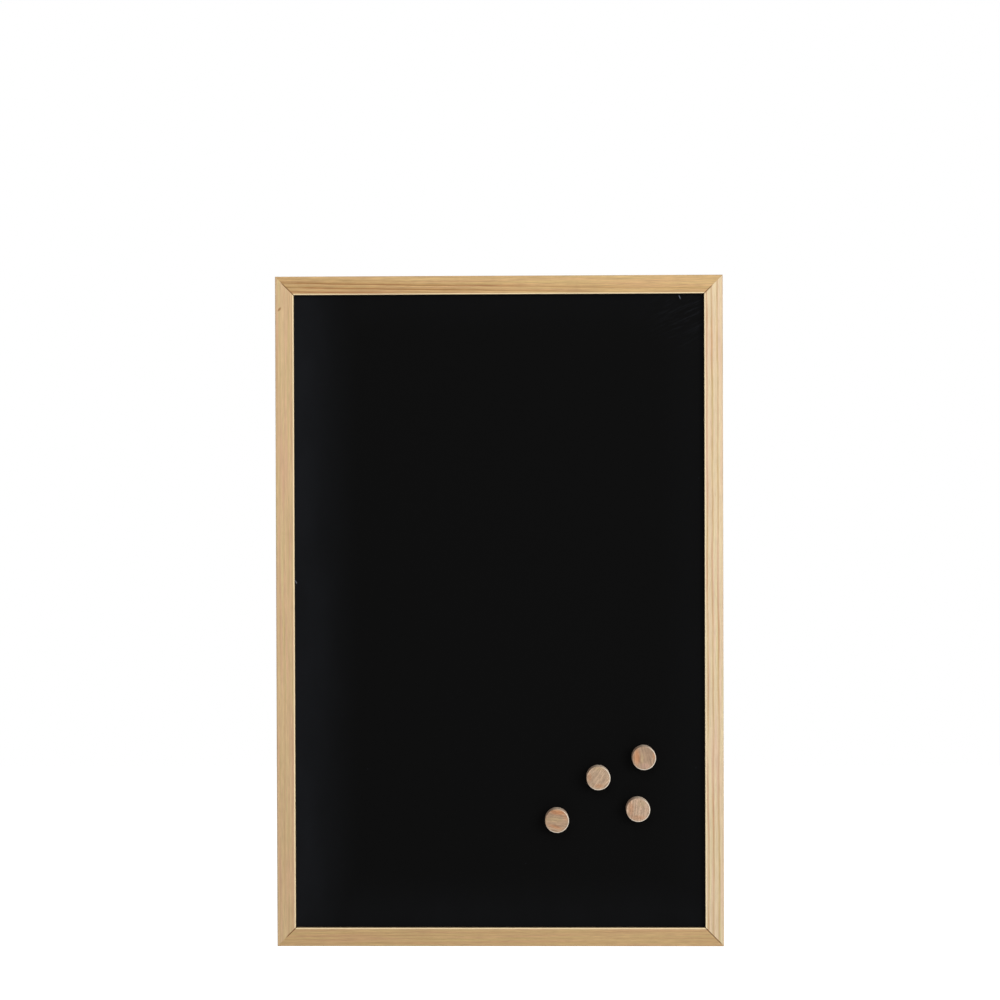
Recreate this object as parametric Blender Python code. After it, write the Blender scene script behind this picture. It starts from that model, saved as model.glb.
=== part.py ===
"""A wall chalkboard: a painted steel writing sheet in a mitred pine frame, with four wooden magnets.

Run it with Blender 4.5. It clears the scene and makes one object for each separate piece, in metres.
+X is to the viewer's right, +Z is up, and the wall lies towards +Y. The origin is on the wall's face,
midway between the two hooks that the board hangs on.
"""

import math

import bmesh
import bpy
from mathutils import Vector

MM = 0.001

# Whole board
BOARD_WIDTH = 400 * MM
BOARD_HEIGHT = 600 * MM
HOOKS_BELOW_TOP = 45 * MM
CLEARANCE = 0.3 * MM
OVERSHOOT = 1 * MM

# Frame moulding
FACE_WIDTH = 16.5 * MM
FRAME_DEPTH = 15 * MM
LIP_THICKNESS = 3 * MM
RABBET_WIDTH = 5 * MM
OUTER_ARRIS = 0.9 * MM
INNER_ARRIS = 0.5 * MM
BACK_ARRIS = 0.6 * MM
ARRIS_STEPS = 4

# Writing sheet and its backing
SHEET_THICKNESS = 0.5 * MM
BACKING_THICKNESS = 3 * MM
PANEL_PLAY = 0.5 * MM
PANEL_CORNER = 2 * MM
CORNER_STEPS = 4

# Framer's points, the tabs that hold the panels in
TAB_WIDTH = 6 * MM
TAB_THICKNESS = 0.4 * MM
TAB_REACH = 8 * MM
TAB_SEAT = 5 * MM
TAB_TIP = 2 * MM
TAB_NOSE = 1.5 * MM
TAB_END_DISTANCE = 100 * MM
STILE_TAB_COUNT = 3
RAIL_TAB_COUNT = 2

# V-nails across the mitres
NAIL_LEG = 3 * MM
NAIL_STRIP = 0.5 * MM
NAIL_HEIGHT = 7 * MM
NAIL_SINK = 0.5 * MM
NAIL_HALF_ANGLE = math.radians(50)
NAIL_SETBACKS = {"outer": 6.5 * MM, "inner": 12.5 * MM}

# Hangers: strap, ring and screw
STRIP_THICKNESS = 0.6 * MM
STRAP_WIDTH = 8.6 * MM
STRAP_BEND = 2.2 * MM
STRAP_END_EASE = 3.9 * MM
RING_WIRE_RADIUS = 0.8 * MM
RING_HALF_WIDTH = 5.5 * MM
RING_HEIGHT = 13 * MM
RING_CORNER = 0.7 * MM
RING_EDGE_MARGIN = 0.3 * MM
EYE_CLEARANCE = 0.25 * MM
SCREW_LENGTH = 12 * MM
SCREW_SHANK_RADIUS = 1.4 * MM
SCREW_TIP = 2.4 * MM
SCREW_HEAD_RADIUS = 2.75 * MM
SCREW_HEAD_HEIGHT = 1.9 * MM
SCREW_HEAD_MARGIN = 0.7 * MM
RECESS_HALF_LENGTH = 1.5 * MM
RECESS_HALF_WIDTH = 0.4 * MM
RECESS_DEPTH = 1.1 * MM

# Wall bumpers
BUMPER_RADIUS = 5 * MM
BUMPER_HEIGHT = 6 * MM
BUMPER_TAPER = 0.4 * MM
BUMPER_EASE = 0.8 * MM
BUMPER_END_DISTANCE = 30 * MM

# Magnets, with their places as distances from the board's right and bottom edges
CAP_RADIUS = 10.6 * MM
CAP_THICKNESS = 9 * MM
CAP_FRONT_EASE = 0.6 * MM
CAP_BACK_EASE = 0.3 * MM
DISC_RADIUS = 6 * MM
DISC_THICKNESS = 3 * MM
DISC_EASE = 0.2 * MM
MAGNET_PLACES = (
    (149.2 * MM, 113.6 * MM),
    (112.2 * MM, 151.6 * MM),
    (71.6 * MM, 169.5 * MM),
    (76.9 * MM, 123.3 * MM),
)

# Facets of turned and bent shapes
TURN_STEPS = 32
SMALL_TURN_STEPS = 20
BEND_STEP = math.radians(20)
RING_CORNER_STEPS = 2
CAP_EASE_STEPS = 3
WIRE_SIDES = 2
SHARP_ANGLE = math.radians(40)
WELD = 1e-7

# A mitre's length over its width
MITRE_SLANT = math.sqrt(2)

# Levels along Y, from the wall to the front
BACK_Y = -(CLEARANCE + BUMPER_HEIGHT)
FRONT_Y = BACK_Y - FRAME_DEPTH
SHEET_Y = FRONT_Y + LIP_THICKNESS + CLEARANCE
BACKING_Y = SHEET_Y + SHEET_THICKNESS + CLEARANCE
TAB_Y = BACKING_Y + BACKING_THICKNESS + CLEARANCE
MAGNET_Y = SHEET_Y - CLEARANCE

# Outline of the board as seen from the front
TOP_Z = HOOKS_BELOW_TOP
BOTTOM_Z = TOP_Z - BOARD_HEIGHT
MIDDLE_Z = (TOP_Z + BOTTOM_Z) / 2
RIGHT_X = BOARD_WIDTH / 2
FLAT_BACK = FACE_WIDTH - RABBET_WIDTH

# Hanger levels, from the hinge axis of the ring
STRAP_THICKNESS = 2 * STRIP_THICKNESS
EYE_BORE = RING_WIRE_RADIUS + EYE_CLEARANCE
EYE_RADIUS = EYE_BORE + STRIP_THICKNESS
AXIS_STANDOFF = CLEARANCE + STRAP_THICKNESS + CLEARANCE + RING_WIRE_RADIUS
AXIS_Y = BACK_Y + AXIS_STANDOFF
AXIS_Z = -(RING_HEIGHT - RING_WIRE_RADIUS)
HANGER_X = RIGHT_X - RING_EDGE_MARGIN - RING_WIRE_RADIUS - RING_HALF_WIDTH
STRAP_FRONT = CLEARANCE - AXIS_STANDOFF
STRAP_REAR = STRAP_FRONT + STRAP_THICKNESS
SCREW_DROP = RING_HEIGHT + RING_WIRE_RADIUS + SCREW_HEAD_MARGIN + SCREW_HEAD_RADIUS
STRAP_END_DROP = SCREW_DROP + STRAP_WIDTH / 2

# Colour as sRGB, roughness and metallic of each finish
FINISHES = {
    "pine": ("#D0AE84", 0.55, 0.0),
    "chalk_paint": ("#121212", 0.85, 0.0),
    "hardboard": ("#7A5433", 0.75, 0.0),
    "zinc_steel": ("#B9BDC0", 0.35, 1.0),
    "spring_steel": ("#8E9092", 0.4, 1.0),
    "beech": ("#C2A283", 0.6, 0.0),
    "nickel": ("#C8C6C0", 0.25, 1.0),
    "bumper_rubber": ("#3A3A3A", 0.8, 0.0),
}


def clear_scene():
    for item in list(bpy.data.objects):
        bpy.data.objects.remove(item, do_unlink=True)


def linear(channel):
    """One sRGB channel from 0 to 1, as linear light."""
    if channel <= 0.04045:
        return channel / 12.92
    return ((channel + 0.055) / 1.055) ** 2.4


def linear_colour(text):
    channels = bytes.fromhex(text.lstrip("#"))
    return (*[linear(channel / 255) for channel in channels], 1.0)


def make_finishes():
    """One material for each finish, by its name."""
    made = {}
    for name, (colour, roughness, metallic) in FINISHES.items():
        material = bpy.data.materials.new(name)
        material.use_nodes = True
        shader = material.node_tree.nodes["Principled BSDF"]
        shader.inputs["Base Color"].default_value = linear_colour(colour)
        shader.inputs["Roughness"].default_value = roughness
        shader.inputs["Metallic"].default_value = metallic
        made[name] = material
    return made


def link(name, data, parent, location=(0, 0, 0), turn=0.0):
    """An object of this data, placed under its parent and turned about Y."""
    made = bpy.data.objects.new(name, data)
    bpy.context.scene.collection.objects.link(made)
    made.parent = parent
    made.location = location
    made.rotation_euler = (0, turn, 0)
    return made


def empty(name, parent=None, location=(0, 0, 0)):
    return link(name, None, parent, location)


def mesh_of(shape, name):
    """The bmesh as a mesh, with its faces pointing out and its round faces smooth."""
    bmesh.ops.recalc_face_normals(shape, faces=shape.faces)
    mesh = bpy.data.meshes.new(name)
    shape.to_mesh(mesh)
    shape.free()
    mesh.shade_smooth()
    mesh.set_sharp_from_angle(angle=SHARP_ANGLE)
    return mesh


def solid(name, shape, finish, parent, location=(0, 0, 0), turn=0.0):
    """A visible piece."""
    mesh = mesh_of(shape, name)
    mesh.materials.append(finish)
    return link(name, mesh, parent, location, turn)


def cutter(name, shape, parent, location=(0, 0, 0), turn=0.0):
    """A hidden shape that only cuts others."""
    made = link(name, mesh_of(shape, name), parent, location, turn)
    made.hide_render = True
    made.display_type = "WIRE"
    return made


def cut(piece, tools):
    for tool in tools:
        modifier = piece.modifiers.new(tool.name, "BOOLEAN")
        modifier.operation = "DIFFERENCE"
        modifier.solver = "EXACT"
        modifier.object = tool


def extruded(loop, offset):
    """The flat loop of points, pushed along offset to a closed shape."""
    shape = bmesh.new()
    face = shape.faces.new([shape.verts.new(point) for point in loop])
    pushed = bmesh.ops.extrude_face_region(shape, geom=[face])
    far_end = [item for item in pushed["geom"] if isinstance(item, bmesh.types.BMVert)]
    bmesh.ops.translate(shape, verts=far_end, vec=offset)
    return shape


def slab(outline, near, far):
    """A plate whose (x, z) outline runs along Y from near to far."""
    return extruded([(x, near, z) for x, z in outline], Vector((0, far - near, 0)))


def turned(profile, steps):
    """The (radius, y) profile, spun about Y. It starts and ends on the axis."""
    shape = bmesh.new()
    rim = [shape.verts.new((radius, y, 0)) for radius, y in profile]
    sides = [shape.edges.new(pair) for pair in zip(rim, rim[1:])]
    bmesh.ops.spin(
        shape, geom=rim + sides, cent=(0, 0, 0), axis=(0, 1, 0),
        angle=math.tau, steps=steps, use_merge=True,
    )
    bmesh.ops.remove_doubles(shape, verts=shape.verts, dist=WELD)
    return shape


def rod(radius, near, far, steps=SMALL_TURN_STEPS):
    """A cylinder along Y."""
    return turned([(0, near), (radius, near), (radius, far), (0, far)], steps)


def arc(centre, radius, start, end, steps):
    """Points on a circle from one angle to another, both ends included."""
    angles = [start + (end - start) * step / steps for step in range(steps + 1)]
    return [
        (centre[0] + radius * math.cos(angle), centre[1] + radius * math.sin(angle))
        for angle in angles
    ]


def rounded_rectangle(width, height, radius):
    """Outline about its centre, corner by corner."""
    outline = []
    for quarter, (side, level) in enumerate(((1, 1), (-1, 1), (-1, -1), (1, -1))):
        centre = (side * (width / 2 - radius), level * (height / 2 - radius))
        start = quarter * math.pi / 2
        outline += arc(centre, radius, start, start + math.pi / 2, CORNER_STEPS)
    return outline


def moulding_profile():
    """The frame's section as (distance in from the outer edge, depth from the front)."""
    right = math.pi / 2
    outer = arc((OUTER_ARRIS, OUTER_ARRIS), OUTER_ARRIS, 2 * right, 3 * right, ARRIS_STEPS)
    inner_centre = (FACE_WIDTH - INNER_ARRIS, INNER_ARRIS)
    inner = arc(inner_centre, INNER_ARRIS, 3 * right, 4 * right, ARRIS_STEPS)
    rabbet = [
        (FACE_WIDTH, LIP_THICKNESS),
        (FLAT_BACK, LIP_THICKNESS),
        (FLAT_BACK, FRAME_DEPTH),
    ]
    back_centre = (BACK_ARRIS, FRAME_DEPTH - BACK_ARRIS)
    back = arc(back_centre, BACK_ARRIS, right, 2 * right, ARRIS_STEPS)
    return outer + inner + rabbet + back


def mitred_bar(length):
    """A frame member along X, its outer edge at z = 0 and its ends cut at 45 degrees."""
    half = length / 2 - CLEARANCE / MITRE_SLANT
    section = moulding_profile()
    shape = bmesh.new()
    near_end = [shape.verts.new((inset - half, depth, -inset)) for inset, depth in section]
    face = shape.faces.new(near_end)
    pushed = bmesh.ops.extrude_face_region(shape, geom=[face])
    far_end = [item for item in pushed["geom"] if isinstance(item, bmesh.types.BMVert)]
    for vertex in far_end:
        vertex.co.x = -vertex.co.x
    return shape


def build_frame(finish, root):
    """The four members, by name. Each one is the same moulding, turned about Y."""
    quarter = math.pi / 2
    members = {
        "frame_rail_top": (BOARD_WIDTH, (0, FRONT_Y, TOP_Z), 0.0),
        "frame_rail_bottom": (BOARD_WIDTH, (0, FRONT_Y, BOTTOM_Z), 2 * quarter),
        "frame_stile_left": (BOARD_HEIGHT, (-RIGHT_X, FRONT_Y, MIDDLE_Z), -quarter),
        "frame_stile_right": (BOARD_HEIGHT, (RIGHT_X, FRONT_Y, MIDDLE_Z), quarter),
    }
    return {
        name: solid(name, mitred_bar(length), finish, root, place, turn)
        for name, (length, place, turn) in members.items()
    }


def build_panels(finishes, root):
    """The writing sheet and the board behind it, loose in the rabbet by PANEL_PLAY all round."""
    width = BOARD_WIDTH - 2 * (FLAT_BACK + PANEL_PLAY)
    height = BOARD_HEIGHT - 2 * (FLAT_BACK + PANEL_PLAY)
    outline = rounded_rectangle(width, height, PANEL_CORNER)
    sheet = slab(outline, 0, SHEET_THICKNESS)
    backing = slab(outline, 0, BACKING_THICKNESS)
    solid("writing_sheet", sheet, finishes["chalk_paint"], root, (0, SHEET_Y, MIDDLE_Z))
    solid("backing_board", backing, finishes["hardboard"], root, (0, BACKING_Y, MIDDLE_Z))


def tab_outline(reach, grow):
    """A framer's point, its tip towards +X and its place in the rabbet's wall at x = 0."""
    half = TAB_WIDTH / 2 + grow
    tip = TAB_SEAT + grow
    nose = min(TAB_NOSE, reach / 2)
    return [
        (tip, 0),
        (tip - TAB_TIP, half),
        (nose - reach, half),
        (-reach, half - nose),
        (-reach, nose - half),
        (nose - reach, -half),
        (tip - TAB_TIP, -half),
    ]


def spread(count, length):
    """Places of the tabs along a member, from its middle."""
    if count < 2:
        return [0.0]
    reach = length / 2 - TAB_END_DISTANCE
    return [reach * (2 * place / (count - 1) - 1) for place in range(count)]


def build_tabs(frame, finish, root):
    """The framer's points of each member, in slots that they fit with a clearance."""
    wall_x = RIGHT_X - FLAT_BACK
    wall_z = BOARD_HEIGHT / 2 - FLAT_BACK
    sides = (
        ("left", "frame_stile_left", STILE_TAB_COUNT, BOARD_HEIGHT, (-wall_x, 0), math.pi),
        ("right", "frame_stile_right", STILE_TAB_COUNT, BOARD_HEIGHT, (wall_x, 0), 0.0),
        ("top", "frame_rail_top", RAIL_TAB_COUNT, BOARD_WIDTH, (0, wall_z), -math.pi / 2),
        ("bottom", "frame_rail_bottom", RAIL_TAB_COUNT, BOARD_WIDTH, (0, -wall_z), math.pi / 2),
    )
    for side, member, count, length, (x, z), turn in sides:
        for number, along in enumerate(spread(count, length), start=1):
            across = (along, 0) if x == 0 else (0, along)
            place = (x + across[0], TAB_Y, MIDDLE_Z + z + across[1])
            name = f"framer_point_{side}_{number}"
            tab = slab(tab_outline(TAB_REACH, 0), 0, TAB_THICKNESS)
            solid(name, tab, finish, root, place, turn)
            room = tab_outline(OVERSHOOT, CLEARANCE)
            slot = slab(room, -CLEARANCE, TAB_THICKNESS + CLEARANCE)
            cut(frame[member], [cutter(f"slot_{name}", slot, root, place, turn)])


def bent_strip(leg, thickness):
    """Outline of a V with its point at the origin, open towards +X."""
    half = thickness / 2
    along = Vector((math.cos(NAIL_HALF_ANGLE), math.sin(NAIL_HALF_ANGLE)))
    outward = Vector((-along.y, along.x)) * half
    point = half / math.sin(NAIL_HALF_ANGLE)
    upper_out = along * leg + outward
    upper_in = along * leg - outward
    return [
        (upper_out.x, upper_out.y),
        (-point, 0),
        (upper_out.x, -upper_out.y),
        (upper_in.x, -upper_in.y),
        (point, 0),
        (upper_in.x, upper_in.y),
    ]


def build_nails(frame, finish, root):
    """Two V-nails across each mitre, driven in from the back with their points inward."""
    members_at = {
        "top_left": (-1, 1, "frame_rail_top", "frame_stile_left"),
        "top_right": (1, 1, "frame_rail_top", "frame_stile_right"),
        "bottom_left": (-1, -1, "frame_rail_bottom", "frame_stile_left"),
        "bottom_right": (1, -1, "frame_rail_bottom", "frame_stile_right"),
    }
    for corner, (side, level, rail, stile) in members_at.items():
        turn = math.atan2(-level, side)
        for place, setback in NAIL_SETBACKS.items():
            inward = setback / MITRE_SLANT
            x = side * (RIGHT_X - inward)
            z = MIDDLE_Z + level * (BOARD_HEIGHT / 2 - inward)
            where = (x, BACK_Y - NAIL_SINK, z)
            name = f"v_nail_{corner}_{place}"
            nail = slab(bent_strip(NAIL_LEG, NAIL_STRIP), -NAIL_HEIGHT, 0)
            solid(name, nail, finish, root, where, turn)
            room = bent_strip(NAIL_LEG + CLEARANCE, NAIL_STRIP + 2 * CLEARANCE)
            slot = slab(room, -NAIL_HEIGHT - CLEARANCE, NAIL_SINK + OVERSHOOT)
            tool = cutter(f"slot_{name}", slot, root, where, turn)
            cut(frame[rail], [tool])
            cut(frame[stile], [tool])


def strap_shape():
    """The folded strap, about the ring's axis: two layers of strip, opened to an eye at the top."""
    eye_end = -math.acos(STRAP_REAR / EYE_RADIUS)
    bend_steps = round((math.pi - eye_end) / BEND_STEP)
    eye = arc((0, 0), EYE_RADIUS, math.pi, eye_end, bend_steps)
    tail = [
        (STRAP_REAR, -STRAP_END_DROP),
        (STRAP_FRONT, -STRAP_END_DROP),
        (STRAP_FRONT, -STRAP_BEND),
    ]
    loop = [(-STRAP_WIDTH / 2, y, z) for y, z in eye + tail]
    shape = extruded(loop, Vector((STRAP_WIDTH, 0, 0)))
    end_edges = [
        edge
        for edge in shape.edges
        if all(abs(vertex.co.z + STRAP_END_DROP) < WELD for vertex in edge.verts)
        and abs(edge.verts[0].co.x - edge.verts[1].co.x) < WELD
    ]
    bmesh.ops.bevel(
        shape, geom=end_edges, offset=STRAP_END_EASE, offset_type="OFFSET",
        segments=CORNER_STEPS, profile=0.5, affect="EDGES",
    )
    return shape


def ring_route():
    """Centre line of the D-ring, hanging from its straight bar on the axis."""
    right = math.pi / 2
    reach = RING_HALF_WIDTH - RING_CORNER
    leg = RING_HEIGHT - RING_HALF_WIDTH
    bend_steps = round(math.pi / BEND_STEP)
    points = arc((reach, -RING_CORNER), RING_CORNER, right, 0, RING_CORNER_STEPS)
    points += arc((0, -leg), RING_HALF_WIDTH, 0, -2 * right, bend_steps)
    points += arc((-reach, -RING_CORNER), RING_CORNER, 2 * right, right, RING_CORNER_STEPS)
    return points


def wire_ring(name, finish, parent):
    """The D-ring as a closed round wire."""
    curve = bpy.data.curves.new(name, "CURVE")
    curve.dimensions = "3D"
    route = ring_route()
    spline = curve.splines.new("POLY")
    spline.points.add(len(route) - 1)
    for point, (x, z) in zip(spline.points, route):
        point.co = (x, 0, z, 1)
    spline.use_cyclic_u = True
    curve.bevel_depth = RING_WIRE_RADIUS
    curve.bevel_resolution = WIRE_SIDES
    curve.materials.append(finish)
    return link(name, curve, parent)


def screw_shape():
    """A pan-head screw along Y, its head towards the wall and the underside of its head at y = 0."""
    crown = arc((0, 0), 1, 0, math.pi / 2, CORNER_STEPS)
    head = [
        (SCREW_HEAD_RADIUS * across, SCREW_HEAD_HEIGHT * (1 + 2 * up) / 3)
        for across, up in crown[:-1]
    ]
    profile = [
        (0, -SCREW_LENGTH),
        (SCREW_SHANK_RADIUS, SCREW_TIP - SCREW_LENGTH),
        (SCREW_SHANK_RADIUS, 0),
        (SCREW_HEAD_RADIUS, 0),
    ]
    return turned(profile + head + [(0, SCREW_HEAD_HEIGHT)], SMALL_TURN_STEPS)


def cross_outline():
    """The screw's recess: a cross of two equal slots."""
    long, short = RECESS_HALF_LENGTH, RECESS_HALF_WIDTH
    quarter = [(long, short), (short, short), (short, long)]
    outline = []
    for _ in range(4):
        outline += quarter
        quarter = [(-z, x) for x, z in quarter]
    return outline


def build_hanger(side, sign, frame, finishes, root):
    """The strap, ring and screw on one stile's back, about the ring's hinge axis."""
    steel = finishes["zinc_steel"]
    pivot = empty(f"hanger_pivot_{side}", root, (sign * HANGER_X, AXIS_Y, AXIS_Z))
    strap = solid(f"hanger_plate_{side}", strap_shape(), steel, pivot)
    wire_ring(f"hanger_ring_{side}", steel, pivot)
    bore_length = STRAP_WIDTH / 2 + OVERSHOOT
    bore = cutter(f"eye_bore_{side}", rod(EYE_BORE, -bore_length, bore_length), pivot)
    bore.rotation_euler = (0, 0, math.pi / 2)
    under_head = STRAP_REAR + CLEARANCE
    seat = (0, under_head, -SCREW_DROP)
    screw = solid(f"hanger_screw_{side}", screw_shape(), steel, pivot, seat)
    shank_room = SCREW_SHANK_RADIUS + CLEARANCE
    pilot = rod(shank_room, -SCREW_LENGTH - CLEARANCE, OVERSHOOT)
    hole = cutter(f"screw_hole_{side}", pilot, pivot, seat)
    recess = slab(cross_outline(), SCREW_HEAD_HEIGHT - RECESS_DEPTH, SCREW_HEAD_HEIGHT + OVERSHOOT)
    cut(screw, [cutter(f"cross_recess_{side}", recess, pivot, seat)])
    cut(strap, [bore, hole])
    cut(frame[f"frame_stile_{side}"], [hole])


def build_bumper(side, sign, finish, root):
    """A soft pad on the back of the bottom rail, its far face on the wall."""
    crown_centre = (BUMPER_RADIUS - BUMPER_TAPER - BUMPER_EASE, BUMPER_HEIGHT - BUMPER_EASE)
    crown = arc(crown_centre, BUMPER_EASE, 0, math.pi / 2, CORNER_STEPS)
    profile = [(0, 0), (BUMPER_RADIUS, 0)] + crown + [(0, BUMPER_HEIGHT)]
    place = (
        sign * (RIGHT_X - BUMPER_END_DISTANCE),
        BACK_Y + CLEARANCE,
        BOTTOM_Z + FLAT_BACK / 2,
    )
    solid(f"wall_bumper_{side}", turned(profile, SMALL_TURN_STEPS), finish, root, place)


def cap_shape():
    """The turned wooden disc, its back at y = 0, with a recess there for the magnet."""
    recess_radius = DISC_RADIUS + CLEARANCE
    recess_depth = DISC_THICKNESS + CLEARANCE
    front_centre = (CAP_RADIUS - CAP_FRONT_EASE, CAP_FRONT_EASE - CAP_THICKNESS)
    profile = [
        (0, -recess_depth),
        (recess_radius, -recess_depth),
        (recess_radius, 0),
        (CAP_RADIUS - CAP_BACK_EASE, 0),
        (CAP_RADIUS, -CAP_BACK_EASE),
    ]
    profile += arc(front_centre, CAP_FRONT_EASE, 0, -math.pi / 2, CAP_EASE_STEPS)
    return turned(profile + [(0, -CAP_THICKNESS)], TURN_STEPS)


def disc_shape():
    """The magnet, flush with the back of its cap."""
    profile = [
        (0, 0),
        (DISC_RADIUS - DISC_EASE, 0),
        (DISC_RADIUS, -DISC_EASE),
        (DISC_RADIUS, DISC_EASE - DISC_THICKNESS),
        (DISC_RADIUS - DISC_EASE, -DISC_THICKNESS),
        (0, -DISC_THICKNESS),
    ]
    return turned(profile, SMALL_TURN_STEPS)


def build_magnet(number, from_right, from_bottom, finishes, root):
    place = (RIGHT_X - from_right, MAGNET_Y, BOTTOM_Z + from_bottom)
    seat = empty(f"magnet_{number}", root, place)
    solid(f"magnet_cap_{number}", cap_shape(), finishes["beech"], seat)
    solid(f"magnet_disc_{number}", disc_shape(), finishes["nickel"], seat)


def main():
    clear_scene()
    finishes = make_finishes()
    root = empty("chalkboard")
    frame = build_frame(finishes["pine"], root)
    build_panels(finishes, root)
    build_tabs(frame, finishes["spring_steel"], root)
    build_nails(frame, finishes["spring_steel"], root)
    for side, sign in (("left", -1), ("right", 1)):
        build_hanger(side, sign, frame, finishes, root)
        build_bumper(side, sign, finishes["bumper_rubber"], root)
    for number, (from_right, from_bottom) in enumerate(MAGNET_PLACES, start=1):
        build_magnet(number, from_right, from_bottom, finishes, root)


main()
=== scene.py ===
"""Dresses a framed wall chalkboard: finer pieces, their finishes, studio light and a camera.

The file is laid out as a Blender add-on and run as a script. Lengths are in metres in the frame's own
axes: +X to the viewer's right, +Z up, and the wall towards +Y. Patterns in the materials are worked
out in millimetres.
"""

import math
from contextlib import contextmanager

import bmesh
import bpy
from bpy.props import FloatProperty, FloatVectorProperty, PointerProperty
from mathutils import Euler, Matrix, Vector


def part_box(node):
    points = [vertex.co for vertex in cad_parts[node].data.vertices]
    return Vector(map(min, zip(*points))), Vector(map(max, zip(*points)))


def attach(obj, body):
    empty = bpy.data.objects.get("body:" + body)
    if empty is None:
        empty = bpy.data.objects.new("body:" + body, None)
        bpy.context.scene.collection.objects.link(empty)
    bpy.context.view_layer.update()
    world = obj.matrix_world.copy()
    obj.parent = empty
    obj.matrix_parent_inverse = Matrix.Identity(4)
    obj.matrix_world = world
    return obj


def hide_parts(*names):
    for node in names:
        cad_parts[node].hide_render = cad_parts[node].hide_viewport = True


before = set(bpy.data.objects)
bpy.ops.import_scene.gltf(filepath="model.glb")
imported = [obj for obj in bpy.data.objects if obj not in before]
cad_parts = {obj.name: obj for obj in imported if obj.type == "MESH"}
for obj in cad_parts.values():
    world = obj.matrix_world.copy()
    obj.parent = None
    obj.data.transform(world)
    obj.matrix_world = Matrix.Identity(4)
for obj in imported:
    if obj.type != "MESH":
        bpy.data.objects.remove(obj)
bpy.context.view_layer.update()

bl_info = {
    "name": "Chalkboard dressing",
    "version": (1, 0, 0),
    "blender": (4, 5, 0),
    "location": "3D Viewport > Sidebar > Chalkboard",
    "description": "Finer pieces, finishes, light and camera for a framed wall chalkboard with magnets",
    "category": "Object",
}

MM = 0.001
PER_MM = 1000.0
NEAR = 1e-6
QUARTER = math.pi / 2
SMOOTH_BELOW = math.radians(40)
# How far a cutter reaches past what it cuts
PAST = 1 * MM

# Outline and levels of the board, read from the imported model
LEFT_X, FRONT_Y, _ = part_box("frame_stile_left")[0]
RIGHT_X, BACK_Y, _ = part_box("frame_stile_right")[1]
BOARD_LOW = Vector((LEFT_X, FRONT_Y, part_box("frame_rail_bottom")[0].z))
BOARD_HIGH = Vector((RIGHT_X, BACK_Y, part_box("frame_rail_top")[1].z))
MIDDLE_X = (BOARD_LOW.x + BOARD_HIGH.x) / 2
MIDDLE_Z = (BOARD_LOW.z + BOARD_HIGH.z) / 2
BOARD_WIDTH = BOARD_HIGH.x - BOARD_LOW.x
BOARD_HEIGHT = BOARD_HIGH.z - BOARD_LOW.z
FRAME_DEPTH = BACK_Y - FRONT_Y
FACE_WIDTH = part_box("frame_rail_top")[1].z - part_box("frame_rail_top")[0].z


# Sizes and colours that a user would change

def srgb(text):
    """A colour written as sRGB hex, in linear light."""
    channels = [int(text[place:place + 2], 16) / 255 for place in (1, 3, 5)]
    return tuple(
        channel / 12.92 if channel <= 0.04045 else ((channel + 0.055) / 1.055) ** 2.4
        for channel in channels
    )


def length(name, description, default):
    return FloatProperty(
        name=name, description=description, default=default, min=0.0, precision=5, unit="LENGTH",
    )


def colour(name, description, text):
    return FloatVectorProperty(
        name=name, description=description, default=srgb(text), min=0.0, max=1.0, size=3,
        subtype="COLOR",
    )


def position(name, description, default):
    return FloatVectorProperty(
        name=name, description=description, default=default, subtype="TRANSLATION", unit="LENGTH",
    )


def number(name, description, default, unit="NONE"):
    return FloatProperty(name=name, description=description, default=default, unit=unit)


class CHALKBOARD_PG_frame(bpy.types.PropertyGroup):
    """Section of the pine moulding, its joints and its tones"""

    lip_thickness: length("Lip thickness", "Wood in front of the writing sheet", 3 * MM)
    rabbet_width: length("Rabbet width", "How far the lip stands over the sheet", 5 * MM)
    outer_arris: length("Outer arris", "Radius along the outer front edge", 0.9 * MM)
    inner_arris: length("Inner arris", "Radius along the edge round the sheet", 0.5 * MM)
    back_arris: length("Back arris", "Radius along the outer back edge", 0.6 * MM)
    rabbet_arris: length("Rabbet arris", "Ease on the edges that the rabbet leaves", 0.2 * MM)
    joint_gap: length("Joint gap", "Width of a tight mitre", 0.04 * MM)
    top_pale: colour("Top rail, early wood", "Pale part of the rings", "#CCAA77")
    top_late: colour("Top rail, late wood", "Dark part of the rings", "#96683A")
    bottom_pale: colour("Bottom rail, early wood", "Pale part of the rings", "#C09F71")
    bottom_late: colour("Bottom rail, late wood", "Dark part of the rings", "#9C7648")
    left_pale: colour("Left stile, early wood", "Pale part of the rings", "#D0B188")
    left_late: colour("Left stile, late wood", "Dark part of the rings", "#AD8659")
    right_pale: colour("Right stile, early wood", "Pale part of the rings", "#DDC6A3")
    right_late: colour("Right stile, late wood", "Dark part of the rings", "#B98F5E")
    # Also darkens the lip's wall towards the sheet, as painted shade
    end_grain_and_shade: colour("End grain", "Walls of the open mitres", "#74491C")
    # Partly sanding, partly a painted highlight along the arris round the sheet
    sanded_and_highlight: colour("Sanded arris", "The eased edge round the sheet", "#FFEABE")
    greyed: colour("Greyed arris", "The outer edge, greyed with handling", "#A8967C")
    knot: colour("Knot", "The pin knot on the left stile", "#8A5A30")


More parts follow.
